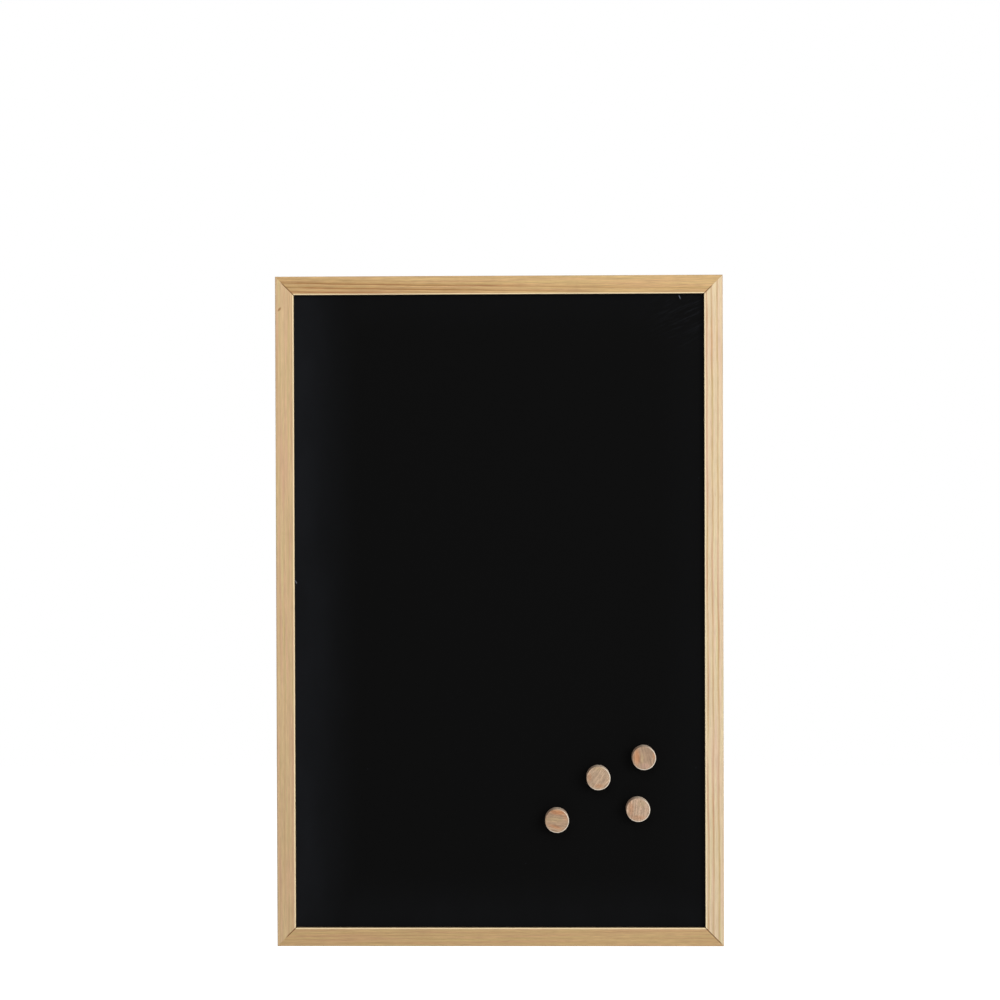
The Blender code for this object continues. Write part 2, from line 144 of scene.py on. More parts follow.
class CHALKBOARD_PG_panels(bpy.types.PropertyGroup):
    """The painted sheet and the hardboard behind it"""

    corner: length("Corner", "Radius of both panels' corners", 2 * MM)
    sheet_edge: length("Sheet edge", "Ease on the steel sheet's sheared edge", 0.08 * MM)
    backing_edge: length("Backing edge", "Ease on the hardboard's sawn edge", 0.25 * MM)
    paint: colour("Chalkboard paint", "Matt black paint of the writing face", "#080808")
    # Also the colour of the pale haze along the sheet's edges
    chalk: colour("Chalk", "Dust that wiping leaves behind", "#BFC7DC")
    hardboard: colour("Hardboard", "Pressed fibre board", "#7A5433")
    dark_fibre: colour("Dark fibre", "Darker fibres of the hardboard", "#5E3D22")
    screen_pitch: length("Screen pitch", "Mesh of the press screen on the rough face", 1.6 * MM)


class CHALKBOARD_PG_hardware(bpy.types.PropertyGroup):
    """Hangers, screws, tabs, nails and bumpers"""

    strip_thickness: length("Strip thickness", "One layer of the folded strap", 0.6 * MM)
    strap_end: length("Strap end", "Corner radius at the strap's lower end", 3.9 * MM)
    wire_radius: length("Ring wire radius", "Half the wire of the D-ring", 0.8 * MM)
    ring_corner: length("Ring corner", "Bend of the wire at the ends of its bar", 1.1 * MM)
    head_radius: length("Screw head radius", "Half the head of the hanger screw", 2.75 * MM)
    head_height: length("Screw head height", "Height of the pan head", 1.9 * MM)
    shank_radius: length("Screw shank radius", "Half the screw's shank", 1.4 * MM)
    nail_strip: length("Nail strip", "Sheet that the V-nails are bent from", 0.5 * MM)
    tab_lift: length("Tab lift", "How far a framer's point is bent up at its free end", 0.7 * MM)
    zinc: colour("Zinc", "Bright zinc plating", "#C3C7CB")
    spring_steel: colour("Spring steel", "Bare rolled strip", "#8E9296")
    rubber: colour("Bumper", "Dark soft rubber", "#2E2E30")
    bloom: colour("Bumper bloom", "Dust in the rubber's pores", "#8C8A86")


class CHALKBOARD_PG_magnets(bpy.types.PropertyGroup):
    """The turned wooden magnets"""

    front_ease: length("Front ease", "Radius round the front face", 0.6 * MM)
    back_ease: length("Back ease", "Radius round the back face", 0.3 * MM)
    recess_gap: length("Recess gap", "Room round the magnet in its recess", 0.1 * MM)
    disc_ease: length("Magnet ease", "Radius on the magnet's edges", 0.25 * MM)
    orange: colour("Beech, orange", "Warm patches", "#BC8259")
    olive: colour("Beech, olive", "Yellower patches", "#B39C74")
    rose: colour("Beech, rose", "Pinker patches", "#BD9785")
    brown: colour("Beech, brown", "Dark streaks and the turned wall", "#8F7460")
    fleck: colour("Ray fleck", "Short dark dashes along the grain", "#86664C")
    # Partly sanding, partly a painted highlight on the front edge towards the lower right
    sanded_and_highlight: colour("Sanded edge", "The eased front edge", "#F3E7D5")
    nickel: colour("Nickel", "Bright nickel plating", "#D2CFC6")


class CHALKBOARD_PG_stage(bpy.types.PropertyGroup):
    """Camera, lamps and the room round the board"""

    lens: number("Lens", "Focal length on a 36 mm sensor", 56.41, "CAMERA")
    camera_place: position("Camera place", "Where the camera stands", (0.0175, -1.4213, -0.14714))
    pan: number("Pan", "Turn of the camera to the left", 0.01192, "ROTATION")
    tilt: number("Tilt", "Lift of the camera's view", -0.0059, "ROTATION")
    roll: number("Roll", "Turn of the camera about its view", -0.00307, "ROTATION")
    key_place: position("Key place", "Large soft lamp to the right", (2.0, -2.0, 0.3))
    key_size: length("Key size", "Width and height of the key lamp", 1.8)
    key_power: number("Key power", "Power of the key lamp", 48.5, "POWER")
    top_place: position("Top place", "Soft lamp above the board", (-0.3, -1.6, 1.1))
    top_size: length("Top size", "Width and height of the top lamp", 1.2)
    top_power: number("Top power", "Power of the top lamp", 14.2, "POWER")
    back_place: position("Back place", "Soft lamp for views from behind", (-1.2, 2.0, 0.8))
    back_size: length("Back size", "Width and height of the back lamp", 2.0)
    back_power: number("Back power", "Power of the back lamp", 40.0, "POWER")
    room_light: number("Room light", "Plain light from all round", 0.33)
    floor_drop: length("Floor drop", "How far the floor lies below the board", 0.9)
    floor_size: length("Floor size", "Length of the floor's sides", 12.0)
    floor_glow: number("Floor glow", "How far the floor is lifted towards white where it is seen", 0.78)
    floor: colour("Floor", "Pale studio floor", "#E6E6E6")


# Modelling by operators

def make_active(piece):
    bpy.ops.object.select_all(action="DESELECT")
    piece.select_set(True)
    bpy.context.view_layer.objects.active = piece


def primitive(kind, name, **settings):
    """A mesh primitive under its name, with its place in its mesh."""
    bpy.ops.object.select_all(action="DESELECT")
    getattr(bpy.ops.mesh, f"primitive_{kind}_add")(**settings)
    piece = bpy.context.object
    piece.name = name
    piece.data.name = name
    bpy.ops.object.transform_apply(location=True, rotation=True, scale=True)
    return piece


def block(name, low, high):
    """A cube that fills the box from low to high."""
    low = Vector(low)
    high = Vector(high)
    return primitive("cube", name, size=1, location=(low + high) / 2, scale=high - low)


def drum(name, radius, centre, near, far, sides):
    """A cylinder along Y from near to far, about the centre's X and Z."""
    return primitive(
        "cylinder", name, vertices=sides, radius=radius, depth=far - near,
        location=(centre.x, (near + far) / 2, centre.z), rotation=(QUARTER, 0, 0),
    )


@contextmanager
def editing(piece):
    make_active(piece)
    bpy.ops.object.mode_set(mode="EDIT")
    yield
    bpy.ops.object.mode_set(mode="OBJECT")


def choose(piece, kind, test):
    """In edit mode, selects the VERT, EDGE or FACE items that pass the test, and nothing else."""
    bpy.ops.mesh.select_mode(type=kind)
    bpy.ops.mesh.select_all(action="DESELECT")
    shape = bmesh.from_edit_mesh(piece.data)
    for item in {"VERT": shape.verts, "EDGE": shape.edges, "FACE": shape.faces}[kind]:
        if test(item):
            item.select_set(True)
    bmesh.update_edit_mesh(piece.data)


def at(item, **levels):
    """True where every corner of the item lies at the levels given by axis."""
    corners = getattr(item, "verts", [item])
    return all(
        abs(getattr(corner.co, axis) - level) < NEAR
        for corner in corners
        for axis, level in levels.items()
    )


def through(edge):
    """True for an edge that runs along Y, through a plate."""
    return abs(edge.verts[0].co.y - edge.verts[1].co.y) > NEAR


def ease(piece, test, radius, segments):
    """Rounds the edges that pass the test."""
    with editing(piece):
        choose(piece, "EDGE", test)
        bpy.ops.mesh.bevel(offset=radius, segments=segments, profile=0.5, affect="EDGES")


def taper(piece, kind, test, factors, centre):
    """Scales the items that pass the test about a centre."""
    with editing(piece):
        choose(piece, kind, test)
        bpy.ops.transform.resize(value=factors, center_override=centre)


def shift(piece, test, move):
    """Moves the corners that pass the test."""
    with editing(piece):
        choose(piece, "VERT", test)
        bpy.ops.transform.translate(value=move)


def cut_across(piece, place, normal, **ends):
    """Cuts the piece's faces along the plane through place."""
    with editing(piece):
        bpy.ops.mesh.select_all(action="SELECT")
        bpy.ops.mesh.bisect(plane_co=place, plane_no=normal, **ends)


def carry(moves):
    """In edit mode, draws the chosen face out by each move.

    A move is a vector, or (centre, axis, turn, steps) for a bend.
    """
    for move in moves:
        if isinstance(move, Vector):
            bpy.ops.mesh.extrude_region_move(TRANSFORM_OT_translate={"value": move})
        else:
            centre, axis, turn, steps = move
            # The operator counts turns the other way round from a right-hand screw
            bpy.ops.mesh.spin(steps=steps, angle=-turn, center=centre, axis=axis)


def carve(piece, cutter):
    """Takes the cutter's shape out of the piece, and removes the cutter."""
    make_active(piece)
    modifier = piece.modifiers.new("Cut", "BOOLEAN")
    modifier.operation = "DIFFERENCE"
    modifier.solver = "EXACT"
    modifier.object = cutter
    bpy.ops.object.modifier_apply(modifier=modifier.name)
    bpy.data.objects.remove(cutter)


def put(piece, place, turn=0.0):
    """Turns the piece about Y and moves it, in its mesh."""
    make_active(piece)
    piece.location = place
    piece.rotation_euler = (0, turn, 0)
    bpy.ops.object.transform_apply(location=True, rotation=True, scale=True)


def middle(node):
    low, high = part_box(node)
    return (low + high) / 2


def copied(piece, name, from_node, to_node, turn=0.0):
    """A copy with its own mesh, taken from one CAD node's place to another's and turned about Y."""
    made = bpy.data.objects.new(name, piece.data.copy())
    made.data.name = name
    bpy.context.scene.collection.objects.link(made)
    there = Matrix.Translation(middle(to_node))
    back = Matrix.Translation(-middle(from_node))
    made.data.transform(there @ Matrix.Rotation(turn, 4, "Y") @ back)
    return made


def face_out(piece):
    """Merges doubles and points the faces out."""
    with editing(piece):
        bpy.ops.mesh.select_all(action="SELECT")
        bpy.ops.mesh.remove_doubles(threshold=NEAR)
        bpy.ops.mesh.normals_make_consistent(inside=False)


def even_surface(piece):
    """Closes the piece, and shades its round faces smooth and its flat ones flat."""
    face_out(piece)
    bpy.ops.object.shade_smooth_by_angle(angle=SMOOTH_BELOW)
    modifier = piece.modifiers.new("Even shading", "WEIGHTED_NORMAL")
    modifier.keep_sharp = True
    bpy.ops.object.modifier_apply(modifier=modifier.name)


def dress(piece, material, body, node):
    """Gives a finished piece its material and its body, and hides the CAD node that it stands for."""
    piece.data.materials.clear()
    piece.data.materials.append(material)
    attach(piece, body)
    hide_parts(node)


def dress_pair(piece, material, body, node):
    """Dresses the left piece of a pair, and a copy of it at the right."""
    twin_node = node.replace("left", "right")
    twin = copied(piece, piece.name.replace("left", "right"), node, twin_node)
    dress(piece, material, body, node)
    dress(twin, material, body.replace("left", "right"), twin_node)


# Shader nodes

def socket(sockets, key):
    """The socket in use of that name, or at that place."""
    in_use = [item for item in sockets if item.enabled]
    if isinstance(key, int):
        return in_use[key]
    return next(item for item in in_use if item.name == key)


def add(tree, kind, inputs=None, stops=None, **settings):
    """A shader node with its settings. An input takes a value, a node's first output or an output."""
    made = tree.nodes.new(f"ShaderNode{kind}")
    for name, value in settings.items():
        setattr(made, name, value)
    for place, value in stops or ():
        stop = made.color_ramp.elements.new(place)
        stop.color = (value, value, value, 1)
    if stops:
        made.color_ramp.elements.remove(made.color_ramp.elements[0])
        made.color_ramp.elements.remove(made.color_ramp.elements[-1])
    for key, value in (inputs or {}).items():
        target = socket(made.inputs, key)
        if isinstance(value, bpy.types.Node):
            value = socket(value.outputs, 0)
        if isinstance(value, bpy.types.NodeSocket):
            tree.links.new(value, target)
        elif target.type == "RGBA":
            target.default_value = (*value[:3], 1.0)
        else:
            target.default_value = value
    return made


def emptied(owner):
    """The node tree of a material or a world, with nothing in it."""
    owner.use_nodes = True
    owner.node_tree.nodes.clear()
    return owner.node_tree


def blank(name):
    """An empty material and its node tree."""
    material = bpy.data.materials.new(name)
    return material, emptied(material)


def span(value, start, end, at_start, at_end):
    """The inputs of a node that carries a value from one range to another."""
    return {
        "Value": value, "From Min": start, "From Max": end, "To Min": at_start, "To Max": at_end,
    }


def mask(tree, *parts):
    """The parts multiplied together, and held between 0 and 1.

    A part is a number, an output, or a smooth step, given as (value, start, end, level at the start,
    level at the end).
    """
    total = None
    for part in parts:
        if isinstance(part, tuple):
            part = add(tree, "MapRange", span(*part), interpolation_type="SMOOTHSTEP")
        if total is not None:
            part = add(tree, "Math", {0: total, 1: part}, operation="MULTIPLY", use_clamp=True)
        total = part
    return total


def coat(tree, base, other, *parts):
    """The base colour with another laid over it, as far as the mask of the parts lets it show."""
    return add(tree, "Mix", {"Factor": mask(tree, *parts), "A": base, "B": other}, data_type="RGBA")


def dimmed(tree, base, level):
    """The base colour times a level."""
    inputs = {"Factor": 1.0, "A": base, "B": level}
    return add(tree, "Mix", inputs, data_type="RGBA", blend_type="MULTIPLY")


def shaded(tree, base, pattern, amount, low=0.3, high=0.7):
    """The base colour made darker and lighter by a pattern, by the amount either way."""
    level = add(tree, "MapRange", span(pattern, low, high, 1 - amount, 1 + amount))
    return dimmed(tree, base, level)


def in_mm(tree, origin=(0, 0, 0), turn=(0, 0, 0)):
    """Object coordinates in mm from an origin, turned to run along a piece."""
    coordinates = add(tree, "TexCoord")
    start = Euler(turn).to_matrix() @ (Vector(origin) * PER_MM)
    return add(tree, "Mapping", {
        "Vector": coordinates.outputs["Object"], "Rotation": turn, "Location": -start,
        "Scale": (PER_MM,) * 3,
    })


def from_middle(tree, place, squeeze, centre=(0, 0, 0), turn=(0, 0, 0)):
    """How far a place is from a centre, once it is turned and then squeezed along each axis."""
    away = add(tree, "VectorMath", {0: place, 1: centre}, operation="SUBTRACT")
    turned = add(tree, "Mapping", {"Vector": away, "Rotation": turn})
    squeezed = add(tree, "VectorMath", {0: turned, 1: squeeze}, operation="MULTIPLY")
    return add(tree, "VectorMath", {0: squeezed}, operation="LENGTH")


def grain(tree, place, along, across, detail, seed=(0.0, 0.0, 0.0)):
    """Noise drawn out along the grain, with its two sizes in mm."""
    scaled = add(tree, "Mapping", {
        "Vector": place, "Scale": (1 / along, 1 / across, 1 / across), "Location": seed,
    })
    return add(tree, "TexNoise", {"Vector": scaled, "Scale": 1.0, "Detail": detail, "Roughness": 0.6})


def pith_distance(figure, inwards):
    """How far a line on the front, so far in from the edge, lies from the pith."""
    return math.hypot(inwards - figure["pith"][0], figure["pith"][1])


def ring_field(tree, place, figure):
    """Growth rings round a pith line: (0 in early wood to 1 in late wood, distance from the pith)."""
    slow = add(tree, "Mapping", {
        "Vector": place, "Location": figure["seed"], "Scale": figure["wander_scale"],
    })
    wander = add(tree, "TexNoise", {"Vector": slow, "Scale": 1.0, "Detail": 2.0})
    centred = add(tree, "VectorMath", {0: wander.outputs["Color"], 1: (0.5,) * 3}, operation="SUBTRACT")
    reach = (figure["wander"],) * 3
    bent = add(tree, "VectorMath", {0: centred, 1: reach, 2: place}, operation="MULTIPLY_ADD")
    radius = from_middle(tree, bent, (0, 1, 1), (0, *figure["pith"]), (0, 0, figure["lean"]))
    start = figure["start"] - pith_distance(figure, figure["line"]) / figure["ring"]
    phase = add(tree, "Math", {0: radius, 1: 1 / figure["ring"], 2: start}, operation="MULTIPLY_ADD")
    uneven = add(tree, "TexNoise", {"W": phase, "Scale": 0.45, "Detail": 1.0}, noise_dimensions="1D")
    offset = add(tree, "Math", {0: uneven, 1: figure["uneven"], 2: phase}, operation="MULTIPLY_ADD")
    part = add(tree, "Math", {0: offset}, operation="FRACT")
    return add(tree, "ValToRGB", {"Fac": part}, stops=figure["profile"]), radius


def surface(tree, base, relief, strength, depth, levels):
    """Ends a material: its colour, its relief with its depth in mm, and its other levels."""
    bump = add(tree, "Bump", {"Height": relief, "Strength": strength, "Distance": depth * MM})
    shader = add(tree, "BsdfPrincipled", {"Base Color": base, "Normal": bump, **levels})
    add(tree, "OutputMaterial", {"Surface": shader})


# Materials

# How dark a growth ring is, from its early wood at 0 to its end at 1
SOFT_RING = ((0.0, 0.0), (0.35, 0.08), (0.65, 0.55), (0.82, 1.0), (0.92, 0.75), (1.0, 0.0))
NARROW_RING = (
    (0.0, 0.05), (0.3, 0.0), (0.42, 0.14), (0.52, 0.03), (0.7, 0.4), (0.82, 1.0), (0.9, 0.5),
    (1.0, 0.05),
)
BROAD_RING = (
    (0.0, 0.25), (0.14, 0.1), (0.26, 0.5), (0.36, 0.15), (0.52, 0.65), (0.6, 0.3), (0.76, 0.95),
    (0.86, 1.0), (0.95, 0.4), (1.0, 0.25),
)
# Figure of each frame member, in mm in its own axes: along it, in from its outer edge, back from its
# front. The pith is where the heart of the tree lay, the lean is how the grain runs off, and ring is
# the mean width of the rings, which uneven varies and wander bends. The line is where one dark line
# crosses the front at the member's middle, and start is its place in a ring. Across and along give
# the lines' depth, and darker is painted shade: how far the wood is darkened along the member, towards
# the board's bottom and left, where the light falls off. Each is given as (from, to, level up to there,
# level beyond). The lines come and go between two strengths, and streak, fibre and hue are how far
# these vary the tone.
FIGURES = {
    "rail_top": {
        "pith": (-52, 30), "lean": -0.0172, "ring": 3.5, "line": 10.2, "start": 0.82, "uneven": 0.4,
        "seed": (3.1, 0.4, 7.7), "wander": 1.3, "wander_scale": (0.016, 0.06, 0.06),
        "profile": BROAD_RING, "across": (5.6, 7.4, 0.25, 1.0), "along": (-80.0, 70.0, 1.0, 0.45),
        "comes": (0.6, 1.55), "streak": 0.15, "fibre": 0.17, "hue": 0.008,
        "darker": (200.0, -200.0, 1.0, 0.98),
    },
    "rail_bottom": {
        "pith": (70, 46), "lean": 0.004, "ring": 2.6, "line": 8.0, "start": 0.82, "uneven": 1.0,
        "seed": (8.3, 2.9, 1.2), "wander": 1.8, "wander_scale": (0.01, 0.05, 0.05),
        "profile": SOFT_RING, "across": (0.0, 1.0, 0.28, 0.28), "along": (-1.0, 1.0, 1.0, 1.0),
        "comes": (0.2, 1.3), "streak": 0.08, "fibre": 0.15, "hue": 0.01,
        "darker": (-200.0, 200.0, 1.0, 0.98),
    },
    "stile_left": {
        "pith": (-64, 58), "lean": -0.003, "ring": 2.9, "line": 6.0, "start": 0.82, "uneven": 1.0,
        "seed": (5.5, 6.1, 4.4), "wander": 1.6, "wander_scale": (0.008, 0.05, 0.05),
        "profile": SOFT_RING, "across": (0.0, 1.0, 0.3, 0.3), "along": (-1.0, 1.0, 1.0, 1.0),
        "comes": (0.2, 1.3), "streak": 0.07, "fibre": 0.12, "hue": 0.016,
        "darker": (60.0, -290.0, 1.0, 0.92),
    },
    "stile_right": {
        "pith": (96, 40), "lean": 0.002, "ring": 4.5, "line": 8.6, "start": 0.82, "uneven": 0.35,
        "seed": (1.7, 9.2, 2.6), "wander": 2.6, "wander_scale": (0.015, 0.05, 0.05),
        "profile": NARROW_RING, "across": (0.0, 1.0, 0.8, 0.8), "along": (-1.0, 1.0, 1.0, 1.0),
        "comes": (0.45, 1.2), "streak": 0.06, "fibre": 0.1, "hue": 0.018,
        "darker": (0.0, 290.0, 1.0, 0.95),
    },
}
KNOT_MEMBER = "stile_left"
KNOT_PLACE = (270.7, 4.0, 0.0)
KNOT_TURN = (0, 0, -0.66)
KNOT_SQUEEZE = (0.37, 0.78, 0.2)


def pine(member, sizes):
    """Planed Scots pine, sanded and left raw: soft pale early wood, thin orange late wood, a dull satin.

    The eye reads it by long low-contrast stripes, fine streaks along them, and paler eased edges, which
    are partly a painted highlight. It is also painted darker towards the board's bottom and left, as
    painted shade.
    """
    material, tree = blank(f"pine_{member}")
    figure = FIGURES[member]
    run, place, turn = MEMBERS[member]
    edge = member.split("_")[1]
    pale = getattr(sizes, f"{edge}_pale")
    late_colour = getattr(sizes, f"{edge}_late")
    own = in_mm(tree, place, (QUARTER, 0, -turn))
    late, radius = ring_field(tree, own, figure)
    along, inwards, back = add(tree, "SeparateXYZ", {"Vector": own}).outputs

    # The lines differ in depth across the rings, fade along the member, and come and go
    first, last, *depths = figure["across"]
    across = (radius, pith_distance(figure, first), pith_distance(figure, last), *depths)
    long_noise = grain(tree, own, along=62, across=4, detail=2.0, seed=figure["seed"])
    comes = add(tree, "MapRange", span(long_noise, 0.3, 0.65, *figure["comes"]))
    wood = coat(tree, pale, late_colour, across, (along, *figure["along"]), comes, late)

    # Bands of pinker and yellower wood, streaks about 1 mm wide, and fibres, which are really
    # 0.05 mm wide and are drawn ten times as wide so that they show
    bands = grain(tree, own, along=90, across=2.6, detail=1.0, seed=(4.0, 2.0, 7.0))
    hue = add(tree, "MapRange", span(bands, 0.3, 0.7, 0.5 - figure["hue"], 0.5 + figure["hue"]))
    wood = add(tree, "HueSaturation", {"Hue": hue, "Color": wood})
    wood = shaded(tree, wood, grain(tree, own, along=46, across=0.95, detail=2.0), figure["streak"])
    fibres = grain(tree, own, along=13, across=0.5, detail=3.0)
    wood = shaded(tree, wood, fibres, figure["fibre"])
    wood = shaded(tree, wood, grain(tree, own, along=70, across=8, detail=2.0), 0.035)
    # Painted shade: the wood is darkened along the member towards the board's bottom and left, where the
    # light falls off
    wood = dimmed(tree, wood, mask(tree, (along, *figure["darker"])))

    # Resin canals: dashes some mm long
    canals = grain(tree, own, along=11, across=0.45, detail=1.0, seed=(9.0, 4.0, 1.0))
    wood = coat(tree, wood, late_colour, (canals, 0.66, 0.75, 0.0, 0.5))

    if member == KNOT_MEMBER:
        from_knot = from_middle(tree, own, KNOT_SQUEEZE, KNOT_PLACE, KNOT_TURN)
        wood = coat(tree, wood, sizes.knot, (from_knot, 0.3, 1.1, 0.8, 0.0))

    # The eased edge round the sheet is painted paler, partly for sanding and partly as a painted
    # highlight along the arris, and the outer edge has greyed with handling
    face = FACE_WIDTH * PER_MM
    # Painted highlight, with some sanding: a pale line along the inner arris
    wood = coat(tree, wood, sizes.sanded_and_highlight, (inwards, face - 1.05, face - 0.65, 0.0, 0.9))
    wood = coat(tree, wood, sizes.greyed, (inwards, 0.0, 0.9, 0.4, 0.0))

    # Painted shade: the lip's wall towards the sheet is darkened with the end-grain colour, for the shade
    # that lies in the rabbet
    wall = (inwards, face - 0.2, face - 0.1, 0.0, 0.7)
    wood = coat(tree, wood, sizes.end_grain_and_shade, wall, (back, 0.2, 0.45, 0.0, 1.0))

    # An open mitre shows end grain, dark with glue, as far out from the inner corner as it is open
    end = run / 2 * PER_MM
    for pair, (side, level, share, _, _) in OPEN_MITRES.items():
        if member in pair:
            own_side = round(side * math.cos(turn) - level * math.sin(turn))
            outwards = add(tree, "Math", {0: along, 1: own_side, 2: inwards}, operation="MULTIPLY_ADD")
            at_cut = (outwards, end - 0.85, end - 0.45, 0.0, 0.8)
            closes = face * (1 - share)
            is_open = (inwards, closes - 1.5, closes + 1.5, 0.0, 1.0)
            wood = coat(tree, wood, sizes.end_grain_and_shade, at_cut, is_open)

    roughness = add(tree, "MapRange", span(fibres, 0.0, 1.0, 0.62, 0.5))
    relief = add(tree, "Math", {0: late, 1: 0.4, 2: fibres}, operation="MULTIPLY_ADD")
    levels = {"Roughness": roughness, "IOR": 1.45, "Specular IOR Level": 0.3}
    surface(tree, wood, relief, 0.35, 0.06, levels)
    return material


# Figure of each cap: the grain's angle from level, where the rings lie, the depth of its ray flecks,
# and patches of another tone as (across, up, half width, half height, turn, tone, depth) in mm from
# the middle.
CAP_FIGURES = {
    1: {
        "base": "#B09378", "grain": -0.16, "pith": (20, -46), "seed": (2.2, 5.1, 0.7), "flecks": 0.35,
        "patches": (
            (1.8, 7.6, 8.0, 2.3, -0.1, "orange", 0.85), (7.6, 3.4, 2.2, 3.0, 0.0, "orange", 0.4),
            (-2.0, 1.2, 8.0, 2.6, 0.0, "olive", 0.5), (-1.5, -5.2, 6.5, 1.5, -0.3, "orange", 0.6),
        ),
    },
    2: {
        "base": "#BCA186", "grain": 0.92, "pith": (-30, 60), "seed": (7.9, 1.4, 3.3), "flecks": 0.55,
        "patches": (
            (0.5, -6.8, 4.0, 1.8, 0.0, "orange", 0.5), (-7.8, 1.2, 1.7, 3.6, 0.0, "orange", 0.4),
            (0.6, 8.6, 5.0, 1.7, 0.0, "olive", 0.5),
        ),
    },
    3: {
        "base": "#AE9278", "grain": -1.4, "pith": (26, 52), "seed": (4.6, 8.8, 6.1), "flecks": 0.3,
        "patches": (
            (-6.4, 1.0, 2.9, 7.6, 0.0, "orange", 0.8), (-1.6, -0.4, 1.7, 4.6, 0.0, "olive", 0.4),
            (1.2, -7.0, 4.4, 2.6, 0.0, "rose", 0.5), (5.2, -1.2, 0.9, 6.0, 0.35, "brown", 0.45),
            (8.8, 2.2, 1.2, 3.2, 0.0, "orange", 0.45),
        ),
    },
    4: {
        "base": "#C2A68D", "grain": 1.45, "pith": (18, -30), "seed": (9.4, 3.6, 1.9), "flecks": 0.85,
        "patches": (
            (-6.6, 1.4, 2.6, 6.6, 0.0, "orange", 0.45), (0.0, -6.6, 6.4, 2.2, 0.0, "orange", 0.4),
            (3.0, 5.6, 4.0, 3.0, 0.0, "olive", 0.35),
        ),
    },
}
CAP_RINGS = {
    "lean": 0.0, "ring": 2.1, "line": 0.0, "start": 0.8, "uneven": 1.2, "wander": 2.4,
    "wander_scale": (0.06, 0.12, 0.12), "profile": SOFT_RING,
}


def beech(magnet, sizes):
    """Steamed beech, turned and sanded: close pinkish tan wood with warm patches and short ray flecks."""
    material, tree = blank(f"beech_{magnet}")
    figure = CAP_FIGURES[magnet]
    flat = in_mm(tree, middle(f"magnet_cap_{magnet}"))
    own = add(tree, "Mapping", {"Vector": flat, "Rotation": (0, figure["grain"], 0)})
    late, _ = ring_field(tree, own, {**CAP_RINGS, **figure})
    fibres = grain(tree, own, along=7, across=0.6, detail=3.0)
    wood = coat(tree, srgb(figure["base"]), sizes.brown, late, 0.38)
    for across, up, half_width, half_height, turn, tone, depth in figure["patches"]:
        squeeze = (1 / half_width, 0, 1 / half_height)
        distance = from_middle(tree, flat, squeeze, (across, 0, up), (0, turn, 0))
        ragged = add(tree, "Math", {0: fibres, 1: 1.4, 2: distance}, operation="MULTIPLY_ADD")
        wood = coat(tree, wood, getattr(sizes, tone), (ragged, 1.1, 2.1, depth, 0.0))
    wood = shaded(tree, wood, fibres, 0.34)

    # Ray flecks 1 to 2 mm long, drawn a little wider than their 0.2 mm
    rays = grain(tree, own, along=1.9, across=0.42, detail=0.0, seed=figure["seed"])
    wood = coat(tree, wood, sizes.fleck, (rays, 0.58, 0.72, 0.0, figure["flecks"]))

    # The eased front edge is painted paler, most of all at the lower right: partly sanding, and partly a
    # painted highlight where the light from the right catches it. The turned wall is painted paler all
    # round, and browner at the left as painted shade on the side turned from the light.
    low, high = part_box("magnet_cap_1")
    radius = (high.x - low.x) / 2 * PER_MM
    front = (low.y - high.y) / 2 * PER_MM
    ease_depth = sizes.front_ease * PER_MM
    sideways, back, _ = add(tree, "SeparateXYZ", {"Vector": flat}).outputs
    on_front = (back, front + ease_depth, front + ease_depth / 2, 0.0, 1.0)
    at_edge = (from_middle(tree, flat, (1, 0, 1)), radius - 0.8, radius - 0.5, 0.0, 1.0)
    lower_right = add(tree, "VectorMath", {0: flat, 1: (1, 0, -0.8)}, operation="DOT_PRODUCT")
    # Painted highlight, with some sanding: the front edge is paler towards the lower right
    wood = coat(tree, wood, sizes.sanded_and_highlight, on_front, at_edge, (lower_right, -9.0, 5.0, 0.0, 0.85))
    on_wall = (back, front + ease_depth * 0.8, front + ease_depth * 1.2, 0.0, 1.0)
    wood = coat(tree, wood, sizes.sanded_and_highlight, on_wall, 0.35)
    # Painted shade: the wall is browner at its left, the side turned from the light
    wood = coat(tree, wood, sizes.brown, on_wall, (sideways, 1.0, -7.0, 0.0, 0.85))

    surface(tree, wood, fibres, 0.3, 0.05, {"Roughness": 0.55, "IOR": 1.45, "Specular IOR Level": 0.3})
    return material


# Pale haze along each edge of the sheet, fading inwards: (axis, side, reach in mm, amount)
HAZE = (("X", -1, 62, 0.0085), ("X", 1, 45, 0.0012), ("Z", -1, 55, 0.0028), ("Z", 1, 40, 0.0012))
# Swipes of the wiper near the upper right corner: in from its two edges, and how far they reach
SWIPES_IN = (8, 14)
SWIPES_REACH = (62, 48)
# Two small chalk strokes: (end, end, half width, strength), in mm from the middle of the board
CHALK_STROKES = (
    ((161.0, 282.6), (162.7, 278.6), 0.42, 0.24),
    ((-181.7, 24.8), (-183.3, 28.4), 0.5, 0.28),
)
SPECK_SPACING = 26


